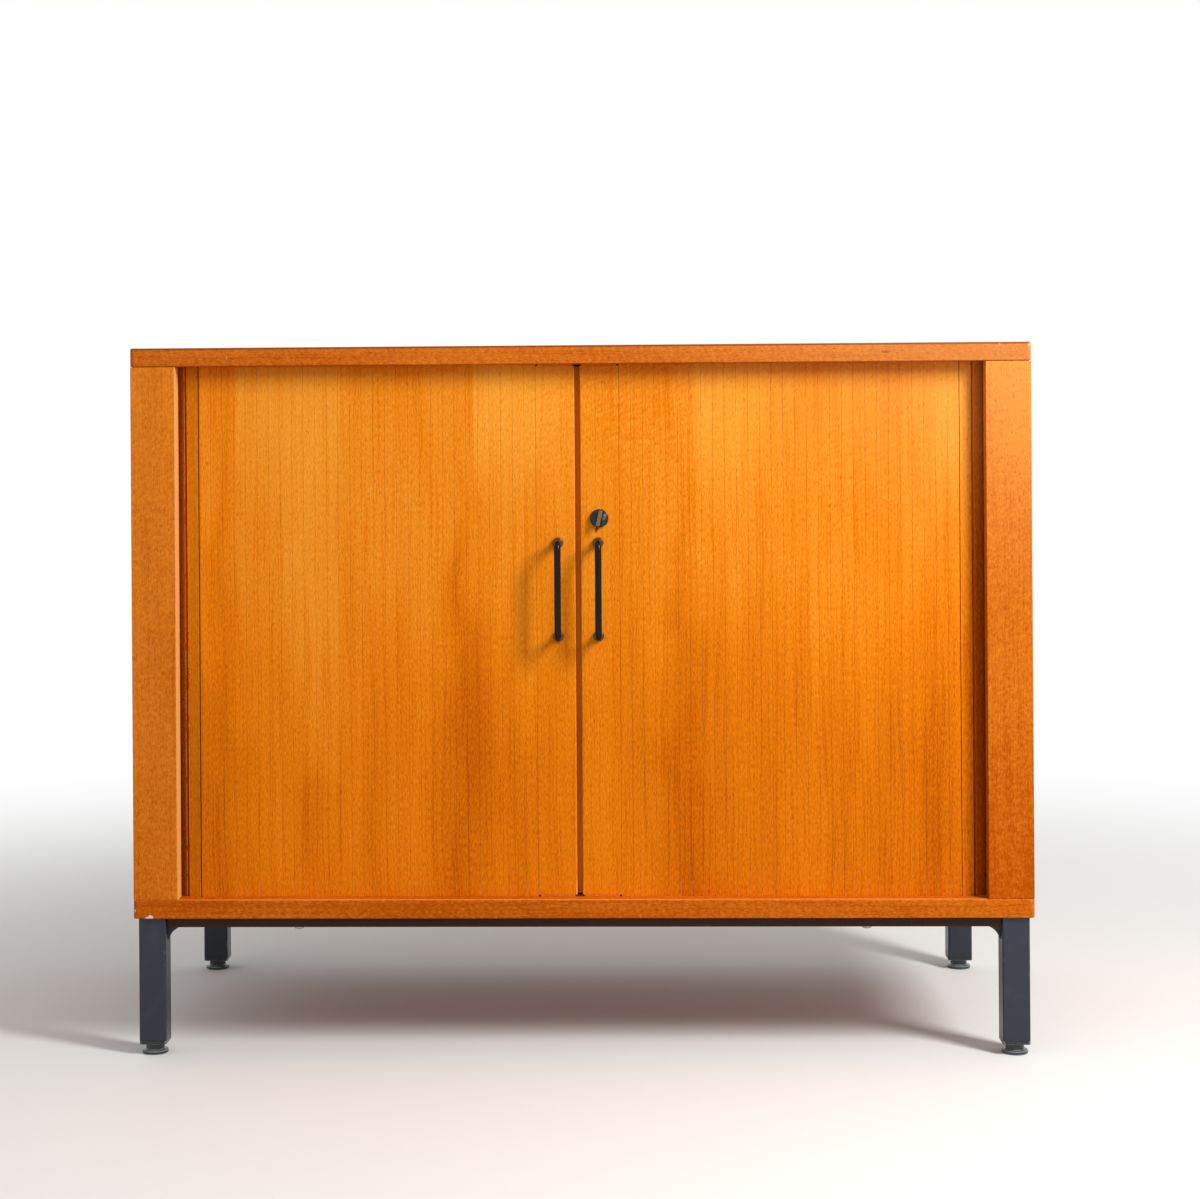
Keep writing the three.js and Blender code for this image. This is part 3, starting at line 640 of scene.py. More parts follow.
def new_material(name):
    """A material's shader and the coordinates of the piece that wears it."""
    material = bpy.data.materials.new(name)
    material.use_nodes = True
    nodes = material.node_tree.nodes
    return nodes["Principled BSDF"], Value(nodes.new("ShaderNodeTexCoord").outputs["Object"])


def fix(node, settings):
    """Sets fixed values on a node's own sockets."""
    for label, value in settings.items():
        node.inputs[label].default_value = value


def dress(shader, colour, roughness, relief, depth, settings):
    """Gives a shader its colour, its roughness, a relief of this depth and its fixed values."""
    feed(colour, shader.inputs["Base Color"])
    feed(roughness, shader.inputs["Roughness"])
    bump = relief.tree.nodes.new("ShaderNodeBump")
    bump.inputs["Distance"].default_value = depth
    feed(relief, bump.inputs["Height"])
    feed(Value(bump.outputs["Normal"]), shader.inputs["Normal"])
    fix(shader, settings)


def veneer_sheen(blue):
    """A faint warm sheen; more blue makes it greyer."""
    return {"Specular IOR Level": 0.22, "Specular Tint": (1, 0.6, blue, 1)}


def darker(colour, share):
    return [part * share for part in colour]


def add_marks(place, colour, marks):
    """Small marks on a finish, each a place, a radius, a colour and a strength."""
    for middle, radius, shown, strength in marks:
        [mark] = use_group("chip", place, Place=middle, Radius=radius)
        colour = mix(mark * strength, colour, shown)
    return colour


def colour_arrises(place, colour, amount, strength, rubbed):
    """Another colour on the arrises, over more of them the larger the amount: rubbed wear, and on the doors
    also a painted highlight.
    """
    [worn] = use_group("arris_patches", place, Amount=amount)
    return mix(worn * strength, colour, rubbed)


def paint_sheen_high_right(x, z, colour):
    """Painted sheen: the veneer mixed towards a pale colour high up on the right, where the window light's
    reflection falls.
    """
    return mix(ramp(z * 1.6 + x, 1.1, 1.7, 0, 0.34), colour, colours().worn_and_lit_wood)


def door_veneer(marks):
    """Golden orange veneer in upright leaves, paler high up and to the right, deeper low on the left; this
    gradient is partly the veneer's tone and partly painted light and shade, with painted sheen, shadows and
    highlights at the bends.
    """
    shader, place = new_material("golden_leaves")
    tint = colours()
    x, _, z = parts_of(place)
    curl = ramp(z, 0.40, 0.62) * 0.34 * ramp(noise(place, (7, 7, 5)), 0.45, 0.62)
    grain, pores, height = use_group(
        "wood_grain", place, Waviness=0.018, Streaks=0.26, Flecks=0.9, Mottle=0.36, Curl=curl
    )
    # Painted shade: darker low down on the right. The rise with height and the fall to the right are partly
    # the veneer's tone and partly painted light and shade.
    shade_low_right = calc("MAXIMUM", x, 0) * ramp(z, 0.52, 0.36, 0, -0.19)
    tone = grain + x * -0.07 + shade_low_right + ramp(z, 0.28, 0.52, 0.45, 0.62)
    for joint, flare, shade in zip(sizes().leaf_joints, JOINT_FLARES, JOINT_SHADES):
        [line] = use_group("leaf_joint", place, Joint=joint, Flare=flare, Shade=shade)
        tone = tone + line
    [pale] = use_group("soft_box", place, Low=(-0.31, -1, 0.27), High=(-0.235, 1, 1), Softness=0.04)
    tone = tone + pale * 0.16
    for start, full, strength in SHADED_STRIPS:
        tone = tone - ramp(x, start, full, 0, strength)
    colour = mix(clamped(tone * 2), tint.door_deep, tint.door_middle)
    colour = mix(clamped(tone * 2 - 1), colour, tint.door_light)
    # Painted sheen high up on the right
    colour = paint_sheen_high_right(x, z, colour)
    # Painted shade on the first slat of the left bend, turned away from the window light; the slats past it
    # are held back from that colour
    turned = ramp(x, -0.3908, -0.3918, 0, 0.42) - ramp(x, -SECOND_BEND, -0.4040, 0, 0.3)
    colour = mix(turned, colour, tint.shaded_turned_slat)
    colour = mix(pores * 0.32, colour, tint.pore)
    near_foot = ramp(z, 0.182, 0.166, 0.05, 0.45)
    # Painted highlight on the slat edges past the left bend, which catch the window light; near the foot the
    # pale edges are wear
    lit_bend_edges = ramp(x, -SECOND_BEND, -0.404, 0, 1.6)
    colour = colour_arrises(place, colour, 0.7, calc("MAXIMUM", near_foot, lit_bend_edges), tint.worn_and_lit_wood)
    colour = add_marks(place, colour, marks)
    dress(shader, colour, ramp(grain, -0.3, 0.3, 0.44, 0.34), height, 0.14 * MM, veneer_sheen(0.14))


def carcass_veneer(name, turn, depth, lean, twist, wear, marks=(), bands=(), sheen_blue=0.16):
    """Redder, speckled veneer of the stiles, sides and panels, a little rubbed along the arrises; lighter
    higher up and across X, partly as painted light and shade, with painted sheen high on the right.
    """
    shader, place = new_material(name)
    tint = colours()
    x, _, z = parts_of(place)
    along = turned_place(place, turn)
    grain, pores, height = use_group(
        "wood_grain", along, Waviness=0.01, Streaks=0.5, Flecks=1.0, Mottle=0.8, Curl=0.34
    )
    tone = drift(place, (330, 330, 330), 3) * 0.85 + grain + (0.19 - depth)
    # Lighter higher up and leaning across X: partly the veneer's tone, partly painted light and shade
    tone = z * 0.84 + tone + x * ((z - 0.60) * twist + lean)
    colour = mix(tone, tint.carcass_deep, tint.carcass_light)
    # Painted sheen high up on the right
    colour = paint_sheen_high_right(x, z, colour)
    colour = mix(pores * 0.45, colour, tint.pore)
    colour = colour_arrises(place, colour, wear, 0.3, tint.worn_and_lit_wood)
    for low, high, softness, shown, strength in bands:
        [band] = use_group("soft_box", place, Low=low, High=high, Softness=softness)
        colour = mix(band * strength, colour, shown)
    colour = add_marks(place, colour, marks)
    dress(shader, colour, ramp(grain, -0.3, 0.3, 0.5, 0.38), height, 0.15 * MM, veneer_sheen(sheen_blue))


def plain_veneer(name, colour, turn, depth):
    """Plain wood for the inside and for the closing strip."""
    shader, place = new_material(name)
    grain, pores, height = use_group(
        "wood_grain", turned_place(place, turn), Waviness=0.02, Streaks=1.0, Flecks=0.7, Mottle=0.7
    )
    dark = darker(colour, depth)
    shown = mix(pores * 0.3, mix(0.35 - grain, colour, dark), dark)
    roughness = ramp(grain, -0.3, 0.3, 0.68, 0.55)
    dress(shader, shown, roughness, height, 0.12 * MM, {"Specular IOR Level": 0.25})


def canvas_cloth(threads=5200):
    """Plain woven cotton, brown with old glue here and there."""
    shader, place = new_material("canvas_cloth")
    x, _, z = parts_of(place)
    weave = calc("SINE", x * threads) * calc("SINE", z * threads)
    _, scuff = use_group("cast_skin", place, Grain=300.0)
    cloth = colours().canvas_cloth
    shown = mix(weave * 0.12 + scuff * 0.5, cloth, darker(cloth, 0.6))
    dress(shader, shown, 0.9, weave, 0.2 * MM, {})


def metal(name, colour, rough, metallic, wear, shine=(0.5, 0.46, 0.42)):
    """Metal with a fine skin, duller scuffs and brighter rubbed edges."""
    shader, place = new_material(name)
    speckle, scuff = use_group("cast_skin", place, Grain=1500.0)
    shown = mix(speckle * 0.35, colour, darker(colour, 0.6))
    shown = colour_arrises(place, shown, wear, 0.5, shine)
    roughness = ramp(scuff, 0, 1, rough, rough + 0.14)
    dress(shader, shown, roughness, speckle, 0.04 * MM, {"Metallic": metallic})


def coated(name, colour, rubbed, rough, wear, dust, gloss):
    """Paint or plastic: low gloss, a fine skin, faint scuffs and rubbed corners."""
    shader, place = new_material(name)
    speckle, scuff = use_group("cast_skin", place, Grain=700.0)
    shown = mix(scuff * dust, colour, [part * 1.8 + 0.02 for part in colour])
    shown = mix(speckle * 0.2, shown, darker(colour, 0.5))
    shown = colour_arrises(place, shown, wear, 0.6, rubbed)
    roughness = ramp(speckle, 0.3, 0.7, rough - 0.05, rough + 0.08)
    settings = {"Specular IOR Level": gloss, "Coat Weight": gloss * 0.5, "Coat Roughness": 0.2}
    dress(shader, shown, roughness, speckle, 0.06 * MM, settings)


def marks_from(corner, shown, *rows):
    """Marks of one colour: in each row the way from a corner and the radius in mm, and the strength."""
    start = Vector(corner)
    return [(start + Vector(way) * MM, radius * MM, shown, strength) for way, radius, strength in rows]


def band_from(corner, opposite, softness, shown, strength):
    """A soft band of a colour between two corners, each given by a place and the way from it in mm."""
    low, high = (Vector(place) + Vector(way) * MM for place, way in (corner, opposite))
    return low, high, softness * MM, shown, strength


def build_veneers():
    """The veneers with the small chips, a dark mark, worn lines, painted highlights and dark rims that stand
    at fixed places.
    """
    tint = colours()
    filler = (0.86, 0.78, 0.68)
    low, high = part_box("bottom_panel")
    foot_marks = marks_from(
        low, filler, ((17.5, 0, 1), 3.3, 0.95), ((14, 0, 0), 2.4, 0.95), ((2, 1, 8.5), 1.6, 0.7)
    )
    left, right = (low.x, low.y, high.z), (high.x, low.y, high.z)
    # A pale band along the bottom panel's top front edge: wear on the arris, and painted sheen on the strip
    # of top face that faces the light
    worn_and_lit_edge = band_from((left, (0, 0.5, -1.2)), (right, (0, 6, 10)), 0.9, tint.worn_and_lit_wood, 0.38)
    low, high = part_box("top_panel")
    left, right = (low.x, low.y, high.z), (high.x, low.y, high.z)
    top_marks = [
        *marks_from(
            right, filler, ((-32, 0, -2), 0.9, 0.35), ((-2, 1, -3), 1.9, 0.3), ((0, 4, -10), 1.6, 0.28)
        ),
        *marks_from(left, filler, ((100, 0, -9), 0.7, 0.4), ((100, 0, -11), 0.7, 0.4)),
        *marks_from(
            right, tint.pore, ((-150, 0, -9), 1.8, 0.4), ((-147, 0, -9), 2.1, 0.5), ((-144, 0, -9), 1.5, 0.3)
        ),
    ]
    rim = band_from((left, (0, -10, -2.4)), (right, (0, 1.4, 10)), 0.8, tint.pore, 0.72)
    # Painted highlight on the left stile's inner face, where the window light falls, placed by mirroring the
    # right stile
    low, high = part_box("right_stile")
    foot, head = (-low.x, low.y, low.z), (-low.x, high.y, high.z)
    lit_inner_face = band_from((foot, (-1.3, -10, 0)), (head, (10, 10, 0)), 0.5, tint.worn_and_lit_wood, 0.75)
    # A short dark mark painted below the lock, down and to the left of the grip
    low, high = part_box("lock_barrel")
    below_lock = ((low.x + high.x) / 2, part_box("left_lead_rail")[0].y, (low.z + high.z) / 2)
    dark_mark_below_lock = marks_from(
        below_lock,
        tint.pore,
        ((-2.4, 0, -10.8), 1.7, 0.95),
        ((-2.9, 0, -12.4), 1.6, 0.95),
        ((-3.4, 0, -14), 1.2, 0.95),
    )
    door_veneer(dark_mark_below_lock)
    carcass_veneer(
        "upright_veneer", UPRIGHT_GRAIN, depth=0, lean=-0.16, twist=0.9, wear=0.35, bands=(lit_inner_face,)
    )
    carcass_veneer(
        "top_veneer",
        CROSS_GRAIN,
        depth=0.48,
        lean=-0.32,
        twist=0,
        wear=0.15,
        marks=top_marks,
        bands=(rim,),
        sheen_blue=0.45,
    )
    carcass_veneer(
        "bottom_veneer",
        CROSS_GRAIN,
        depth=0.04,
        lean=0.16,
        twist=0,
        wear=0.3,
        marks=foot_marks,
        bands=(worn_and_lit_edge,),
    )
    plain_veneer("inside_veneer", tint.inner_wood, UPRIGHT_GRAIN, depth=0.62)
    plain_veneer("shelf_veneer", tint.inner_wood, CROSS_GRAIN, depth=0.62)
    plain_veneer("strip_wood", tint.strip_wood, UPRIGHT_GRAIN, depth=0.6)


def build_metals_and_coats():
    tint = colours()
    bare_steel = (0.15, 0.17, 0.19)
    worn_plastic = (0.26, 0.30, 0.31)
    bright_zinc = (0.7, 0.7, 0.72)
    metal("pull_metal", tint.bronze, rough=0.27, metallic=0.75, wear=0.35)
    metal("collar_metal", tint.collar_metal, rough=0.3, metallic=0.85, wear=0.35)
    metal("lock_metal", tint.lock_metal, rough=0.22, metallic=0.9, wear=0.4)
    metal("grip_metal", tint.grip_metal, rough=0.36, metallic=0.9, wear=0.5)
    metal("plated_steel", tint.zinc, rough=0.36, metallic=1.0, wear=0.3, shine=bright_zinc)
    coated("frame_paint", tint.slate, bare_steel, rough=0.36, wear=0.3, dust=0.22, gloss=0.36)
    # Paint darkened and browned as painted shade under the bottom panel, with low gloss
    coated("shaded_rail_paint", tint.rail_shade, bare_steel, rough=0.5, wear=0.2, dust=0.1, gloss=0.12)
    coated("moulded_plastic", tint.plastic, worn_plastic, rough=0.28, wear=0.8, dust=0.3, gloss=0.5)


class CABINET_OT_finishes(bpy.types.Operator):
    """Builds the veneers, metals, paint and plastic"""

    bl_idname = "cabinet.finishes"
    bl_label = "Finishes"

    def execute(self, context):
        build_wood_grain()
        build_leaf_joint()
        build_arris_patches()
        build_chip()
        build_cast_skin()
        build_soft_box()
        build_veneers()
        canvas_cloth()
        build_metals_and_coats()
        return {"FINISHED"}


# Pieces

def track_places():
    """Where the curtains run: the line of the doors, and the middle of the right bend."""
    size = sizes()
    half = (size.slat_thickness + size.canvas_thickness) / 2
    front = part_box("left_lead_rail")[0].y + half
    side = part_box("right_inner_wall")[1].x + size.wall_gap + half
    return front, side - size.track_radius, front + size.track_radius


def groove_cutter(panel, opens_up):
    """One band round the front and both corners, made a little taller than the groove."""
    size = sizes()
    low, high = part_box(panel)
    inside = high.z if opens_up else low.z
    bottom, top = inside - size.groove_depth, inside + size.groove_depth
    front, bend_x, bend_y = track_places()
    half = (size.slat_thickness + size.canvas_thickness) / 2 + size.groove_side
    cutter = add_block("groove", (-bend_x, front - half, bottom), (bend_x, front + half, top))
    straight = high.y - size.groove_stop - bend_y
    for _, side in SIDES:
        pick(cutter, "FACE", ends_at(side * bend_x))
        bpy.ops.mesh.spin(
            steps=16,
            angle=math.radians(-90 * side),
            center=(side * bend_x, bend_y, bottom),
            axis=AXES["Z"],
        )
        push_out((0, straight, 0))
        leave_edit()
    turn_faces_out(cutter)
    return cutter


class CABINET_OT_panels(bpy.types.Operator):
    """Makes the top and bottom panels with their grooves"""

    bl_idname = "cabinet.panels"
    bl_label = "Top and Bottom Panels"

    def execute(self, context):
        size = sizes()
        for node, opens_up, wood in (
            ("top_panel", False, "top_veneer"),
            ("bottom_panel", True, "bottom_veneer"),
        ):
            panel = add_block(f"{node}_board", *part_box(node))
            ease(panel, size.panel_corner, runs_along("Z"), steps=6)
            ease(panel, size.panel_easing, is_sharp, steps=3)
            combine(panel, groove_cutter(node, opens_up), "DIFFERENCE")
            complete(panel, node, "carcass_veneer", wood)
        return {"FINISHED"}


class CABINET_OT_uprights(bpy.types.Operator):
    """Makes the stiles and the side panels"""

    bl_idname = "cabinet.uprights"
    bl_label = "Stiles and Sides"

    def execute(self, context):
        size = sizes()
        for word, _ in SIDES:
            stile = add_board(f"{word}_stile", size.board_easing / 3, 1)
            ease(stile, size.stile_easing, lambda edge: runs_along("Z")(edge) and is_sharp(edge), steps=4)
            complete(stile, f"{word}_stile", "carcass_veneer", "upright_veneer")
            panel = add_board(f"{word}_side", size.board_easing)
            complete(panel, f"{word}_side", "carcass_veneer", "upright_veneer")
        return {"FINISHED"}


class CABINET_OT_insides(bpy.types.Operator):
    """Makes the back, the inner walls with their pin holes, the shelf and its pins"""

    bl_idname = "cabinet.insides"
    bl_label = "Back, Inner Walls and Shelf"

    hole_spacing: length_property("Hole spacing", "From one shelf pin hole to the next", 32)
    holes_each_way: count_property("Holes", "Holes above and below the shelf", 3)
    hole_share: number_property("Hole share", "Width of a pin hole as a share of the pin's head", 0.8)
    shank_share: number_property("Shank share", "Width of a pin's shank as a share of its head", 5 / 7)

    def execute(self, context):
        easing = sizes().board_easing
        complete(add_board("back_panel", easing, 2), "back_panel", "inner_veneer", "inside_veneer")
        complete(add_board("shelf", easing * 2), "shelf", "inner_veneer", "shelf_veneer")
        for word, side in SIDES:
            self.add_wall(f"{word}_inner_wall", word)
            for place in ("front", "rear"):
                self.add_pin(f"shelf_pin_{word}_{place}", side)
        return {"FINISHED"}

    def add_wall(self, node, word):
        wall = add_board(node, sizes().board_easing, 2)
        for place in ("front", "rear"):
            low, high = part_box(f"shelf_pin_{word}_{place}")
            radius = (high.z - low.z) / 2 * self.hole_share
            for row in range(-self.holes_each_way, self.holes_each_way + 1):
                middle = (low + high) / 2 + Vector((0, 0, row * self.hole_spacing))
                hole = add_turned("pin_hole", "X", middle, ((radius, low.x), (radius, high.x)), sides=20)
                combine(wall, hole, "DIFFERENCE")
        complete(wall, node, "inner_veneer", "inside_veneer")

    def add_pin(self, node, side):
        low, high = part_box(node)
        inner, outer = (high.x, low.x) if side < 0 else (low.x, high.x)
        peg = (high.z - low.z) / 2
        shank = peg * self.shank_share
        face = side * (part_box("right_inner_wall")[0].x - CLEARANCE)
        profile = ((shank, outer), (shank, face), (peg, face), (peg, inner))
        pin = add_turned(f"{node}_peg", "X", (low + high) / 2, profile, sides=32)
        ease(pin, sizes().metal_easing, is_sharp, steps=2)
        complete(pin, node, "zinc_steel", "plated_steel")


class CABINET_OT_curtains(bpy.types.Operator):
    """Makes both tambour curtains: slats on canvas, straight and round the corner"""

    bl_idname = "cabinet.curtains"
    bl_label = "Tambour Curtains"

    corner_slats: count_property("Corner slats", "Slats past the straight run", 3)
    joint_gap: length_property("Joint gap", "From the lead rail to the first slat", 0.14)
    corner_easing: length_property("Corner easing", "Rubbed edges of the slats in the bend", 0.4)
    first_slack: number_property("First slack", "How much flatter the first slat in the bend lies", 0.55)

    def execute(self, context):
        size = sizes()
        front, bend_x, _ = track_places()
        for word, side in SIDES:
            low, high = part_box(f"{word}_curtain")
            rail_edge = max(abs(corner.x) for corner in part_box(f"{word}_lead_rail")) + self.joint_gap
            run = bend_x - rail_edge
            count = round(run / size.slat_pitch)
            start = side * (rail_edge + size.slat_pitch / 2)
            slats = self.add_slat(start, low.z, high.z, size.slat_easing)
            apply_modifier(
                slats,
                "ARRAY",
                count=count,
                use_relative_offset=False,
                use_constant_offset=True,
                constant_offset_displace=(side * size.slat_pitch, 0, 0),
            )
            surface(slats, "golden_leaves")
            canvas = self.add_canvas(side * rail_edge, side * bend_x, low.z, high.z)
            ease(canvas, size.canvas_thickness / 4, runs_along("Z"), steps=1)
            surface(canvas, "canvas_cloth")
            straight = join_pieces(f"{word}_straight_slats", [slats, canvas])
            stand_for(straight, [f"{word}_curtain"])
            travel = self.travel(f"{word}_door_slide")
            1 - travel / run
            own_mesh(straight)
            corner = self.add_corner(word, side, run, count, low.z, high.z)
            stand_for(corner, [f"{word}_curtain"])
        return {"FINISHED"}

    def travel(self, name):
        joint = next(item for item in frame["joints"] if item["name"] == name)
        return max(abs(limit) for limit in joint["range_m"])

    def add_slat(self, middle, bottom, top, easing):
        """One slat on the straight run, its long edges rounded."""
        size = sizes()
        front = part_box("left_lead_rail")[0].y
        half = (size.slat_pitch - size.slat_seam) / 2
        slat = add_block(
            "slat", (middle - half, front, bottom), (middle + half, front + size.slat_thickness, top)
        )
        ease(slat, easing, runs_along("Z"), steps=2)
        return slat

    def add_canvas(self, start, end, bottom, top):
        """A stretch of the cloth behind the slats of the straight run."""
        size = sizes()
        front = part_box("left_lead_rail")[0].y + size.slat_thickness
        return add_block("canvas", (start, front, bottom), (end, front + size.canvas_thickness, top))

    def add_corner(self, word, side, run, count, bottom, top):
        """The slats that stand in the bend, each turned a little further than the last."""
        size = sizes()
        front, bend_x, bend_y = track_places()
        radius = size.track_radius - size.slat_thickness / 2
        step = size.slat_pitch / radius
        first = ((count + 0.5) * size.slat_pitch - run) / radius
        centre = Vector((side * bend_x, bend_y, bottom))
        middle = Vector((side * bend_x, front, 0))
        slat = self.add_slat(side * bend_x, bottom, top, self.corner_easing)
        surface(slat, "golden_leaves")
        parts = []
        for index in range(self.corner_slats):
            select_only(slat)
            bpy.ops.object.duplicate()
            part = bpy.context.object
            slack = turned_about(middle, -side * first * self.first_slack if index == 0 else 0, "Z")
            part.matrix_world = turned_about(centre, side * (first + index * step), "Z") @ slack
            apply_place()
            parts.append(part)
        bpy.data.objects.remove(slat)
        start_width = 0.2 * MM
        canvas = self.add_canvas(side * (bend_x - start_width), side * bend_x, bottom, top)
        pick(canvas, "FACE", ends_at(side * bend_x))
        sweep = first + (self.corner_slats - 0.5) * step
        bpy.ops.mesh.spin(steps=12, angle=-side * sweep, center=centre, axis=AXES["Z"])
        leave_edit()
        turn_faces_out(canvas)
        surface(canvas, "canvas_cloth")
        return join_pieces(f"{word}_corner_slats", [*parts, canvas])


class CABINET_OT_lead_rails(bpy.types.Operator):
    """Makes the two lead rails with their tenons and holes, and the closing strip"""

    bl_idname = "cabinet.lead_rails"
    bl_label = "Lead Rails and Closing Strip"

    end_gap: length_property("End gap", "From the rail's shoulder to the panels", 1.5)
    canvas_tail: length_property("Canvas tail", "Cloth let into the rail's outer edge", 12)
    strip_play: length_property("Strip play", "Room round the closing strip", 0.4)
    hole_play: length_property("Hole play", "Room round a screw or barrel", 0.3)
    screw_share: number_property("Screw share", "Radius of a screw hole by the width of the head", 0.25)
    barrel_share: number_property("Barrel share", "Radius of the lock's hole by the flange's width", 15 / 38)

    def execute(self, context):
        for word, side in SIDES:
            self.add_rail(f"{word}_lead_rail", word, side)
        strip = add_board("closing_strip", sizes().board_easing, 2)
        complete(strip, "closing_strip", "carcass_veneer", "strip_wood")
        return {"FINISHED"}

    def add_rail(self, node, word, side):
        """A board with a tenon at both ends, a kerf for the canvas, a slot for the strip, and holes."""
        size = sizes()
        low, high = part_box(node)
        meeting, outer = (high.x, low.x) if side < 0 else (low.x, high.x)
        rail = add_block(
            f"{node}_board",
            (low.x, low.y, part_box("bottom_panel")[1].z + self.end_gap),
            (high.x, high.y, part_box("top_panel")[0].z - self.end_gap),
        )

        def meets(edge):
            return runs_along("Z")(edge) and abs(edge.verts[0].co.x - meeting) < NEARLY

        ease(rail, size.rail_easing, meets, steps=4)
        ease(rail, size.slat_easing, is_sharp, steps=2)
        shoulder = size.rail_easing * 1.5
        tenon_back = low.y + size.slat_thickness + size.canvas_thickness
        combine_block(
            rail,
            "UNION",
            (low.x + shoulder, low.y + size.rail_easing / 4, low.z),
            (high.x - shoulder, tenon_back, high.z),
        )
        kerf_y = low.y + size.slat_thickness - self.hole_play
        below, above = low.z - size.groove_depth, high.z + size.groove_depth
        combine_block(
            rail,
            "DIFFERENCE",
            (outer - side * self.canvas_tail, kerf_y, below),
            (outer + side * size.rail_easing, kerf_y + size.canvas_thickness + 2 * self.hole_play, above),
        )
        strip_low, strip_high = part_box("closing_strip")
        combine_block(
            rail,
            "DIFFERENCE",
            (strip_low.x - self.strip_play, strip_low.y - self.strip_play, below),
            (strip_high.x + self.strip_play, strip_high.y + self.strip_play, above),
        )
        for place in ("upper", "lower"):
            self.drill(rail, low, high, f"{word}_pull_screw_{place}", self.screw_share)
        if side > 0:
            self.drill(rail, low, high, "lock_barrel", self.barrel_share)
        complete(rail, node, "door_veneer", "golden_leaves")

    def drill(self, rail, low, high, fastener, share):
        """Bores right through a rail; the radius is a share of the fastener's widest part, and some play."""
        near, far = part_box(fastener)
        radius = (far.x - near.x) * share + self.hole_play
        beyond = 2 * MM
        profile = ((radius, low.y - beyond), (radius, high.y + beyond))
        combine(rail, add_turned("hole", "Y", (near + far) / 2, profile, sides=32), "DIFFERENCE")


# Shares of a screw head's radius: the shank's radius, and half the slot's length and width
SHANK_SHARE = 0.5
SLOT_LENGTH_SHARE = 1.2
SLOT_WIDTH_SHARE = 0.14

# Share of the head's height
SLOT_DEPTH_SHARE = 0.42


def add_slotted_screw(node, axis, head_at_high, head_share):
    """A screw with a domed, slotted head, the size of its node."""
    low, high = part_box(node)
    along = AXES[axis]
    start, end = along.dot(low), along.dot(high)
    if not head_at_high:
        start, end = end, start
    way = 1 if end > start else -1
    head = max(part for part, used in zip(high - low, along) if not used) / 2
    shank = head * SHANK_SHARE
    head_height = head_share * abs(end - start)
    shoulder = end - way * head_height
    profile = (
        (shank * 0.8, start),
        (shank, start + way * head * 0.3),
        (shank, shoulder),
        (head, shoulder),
        (head, shoulder + way * head_height * 0.5),
        (head * 0.84, shoulder + way * head_height * 0.78),
        (head * 0.5, end),
    )
    centre = (low + high) / 2
    screw = add_turned(f"{node}_metal", axis, centre, profile, sides=40)
    half_slot = Vector((head, head, head)) * SLOT_LENGTH_SHARE
    half_slot["XYZ".index("Y" if axis == "Z" else "Z")] = head * SLOT_WIDTH_SHARE
    slot_low, slot_high = centre - half_slot, centre + half_slot
    index = "XYZ".index(axis)
    depth = head_height * SLOT_DEPTH_SHARE
    slot_low[index], slot_high[index] = end - way * depth, end + way * depth
    combine_block(screw, "DIFFERENCE", slot_low, slot_high)
    ease(screw, sizes().metal_easing / 3, is_sharp, steps=1)
    complete(screw, node, "zinc_steel", "plated_steel", turned_on=axis)


class CABINET_OT_pulls(bpy.types.Operator):
    """Makes the bent wire pulls, their collars and the screws behind them"""

    bl_idname = "cabinet.pulls"
    bl_label = "Wire Pulls"

    bend_steps: count_property("Bend steps", "Steps round each bend", 10)
    collar_play: length_property("Collar play", "Room between the wire and a collar", 0.1)

    def execute(self, context):
        for word, _ in SIDES:
            self.add_rod(f"{word}_pull")
            for place in ("upper", "lower"):
                self.add_collar(f"{word}_pull_collar_{place}")
                add_slotted_screw(f"{word}_pull_screw_{place}", "Y", True, 0.08)
        return {"FINISHED"}

    def add_rod(self, node):
        """Starts at the upper post's foot and follows the wire round to the lower one."""
        low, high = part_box(node)
        bend = sizes().rod_bend
        radius = (high.x - low.x) / 2
        middle = (low.x + high.x) / 2
        top, bottom = high.z - radius, low.z + radius
        bend_y = low.y + radius + bend
        post = high.y - bend_y
        rod = start_circle(f"{node}_wire", "Y", (middle, high.y, top), radius, sides=28)
        push_out((0, -post, 0))
        self.bend_round(middle, bend_y, top - bend)
        push_out((0, 0, bottom - top + 2 * bend))
        self.bend_round(middle, bend_y, bottom + bend)
        push_out((0, post, 0))
        leave_edit()
        turn_faces_out(rod)
        complete(rod, node, "dark_bronze", "pull_metal", worn=False)

    def bend_round(self, x, y, z):
        bpy.ops.mesh.spin(steps=self.bend_steps, angle=math.radians(-90), center=(x, y, z), axis=AXES["X"])

    def add_collar(self, node):
        low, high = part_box(node)
        rod_low, rod_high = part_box("left_pull")
        outer = (high.x - low.x) / 2
        inner = (rod_high.x - rod_low.x) / 2 + self.collar_play
        depth = high.y - low.y
        profile = (
            (inner, high.y),
            (outer, high.y),
            (outer, low.y + depth * 0.45),
            (outer * 0.93, low.y + depth * 0.12),
            (outer * 0.82, low.y),
            (inner, low.y),
        )
        collar = add_turned(f"{node}_metal", "Y", (low + high) / 2, profile, hollow=True)
        complete(collar, node, "dark_bronze", "collar_metal", angle=50, worn=False)


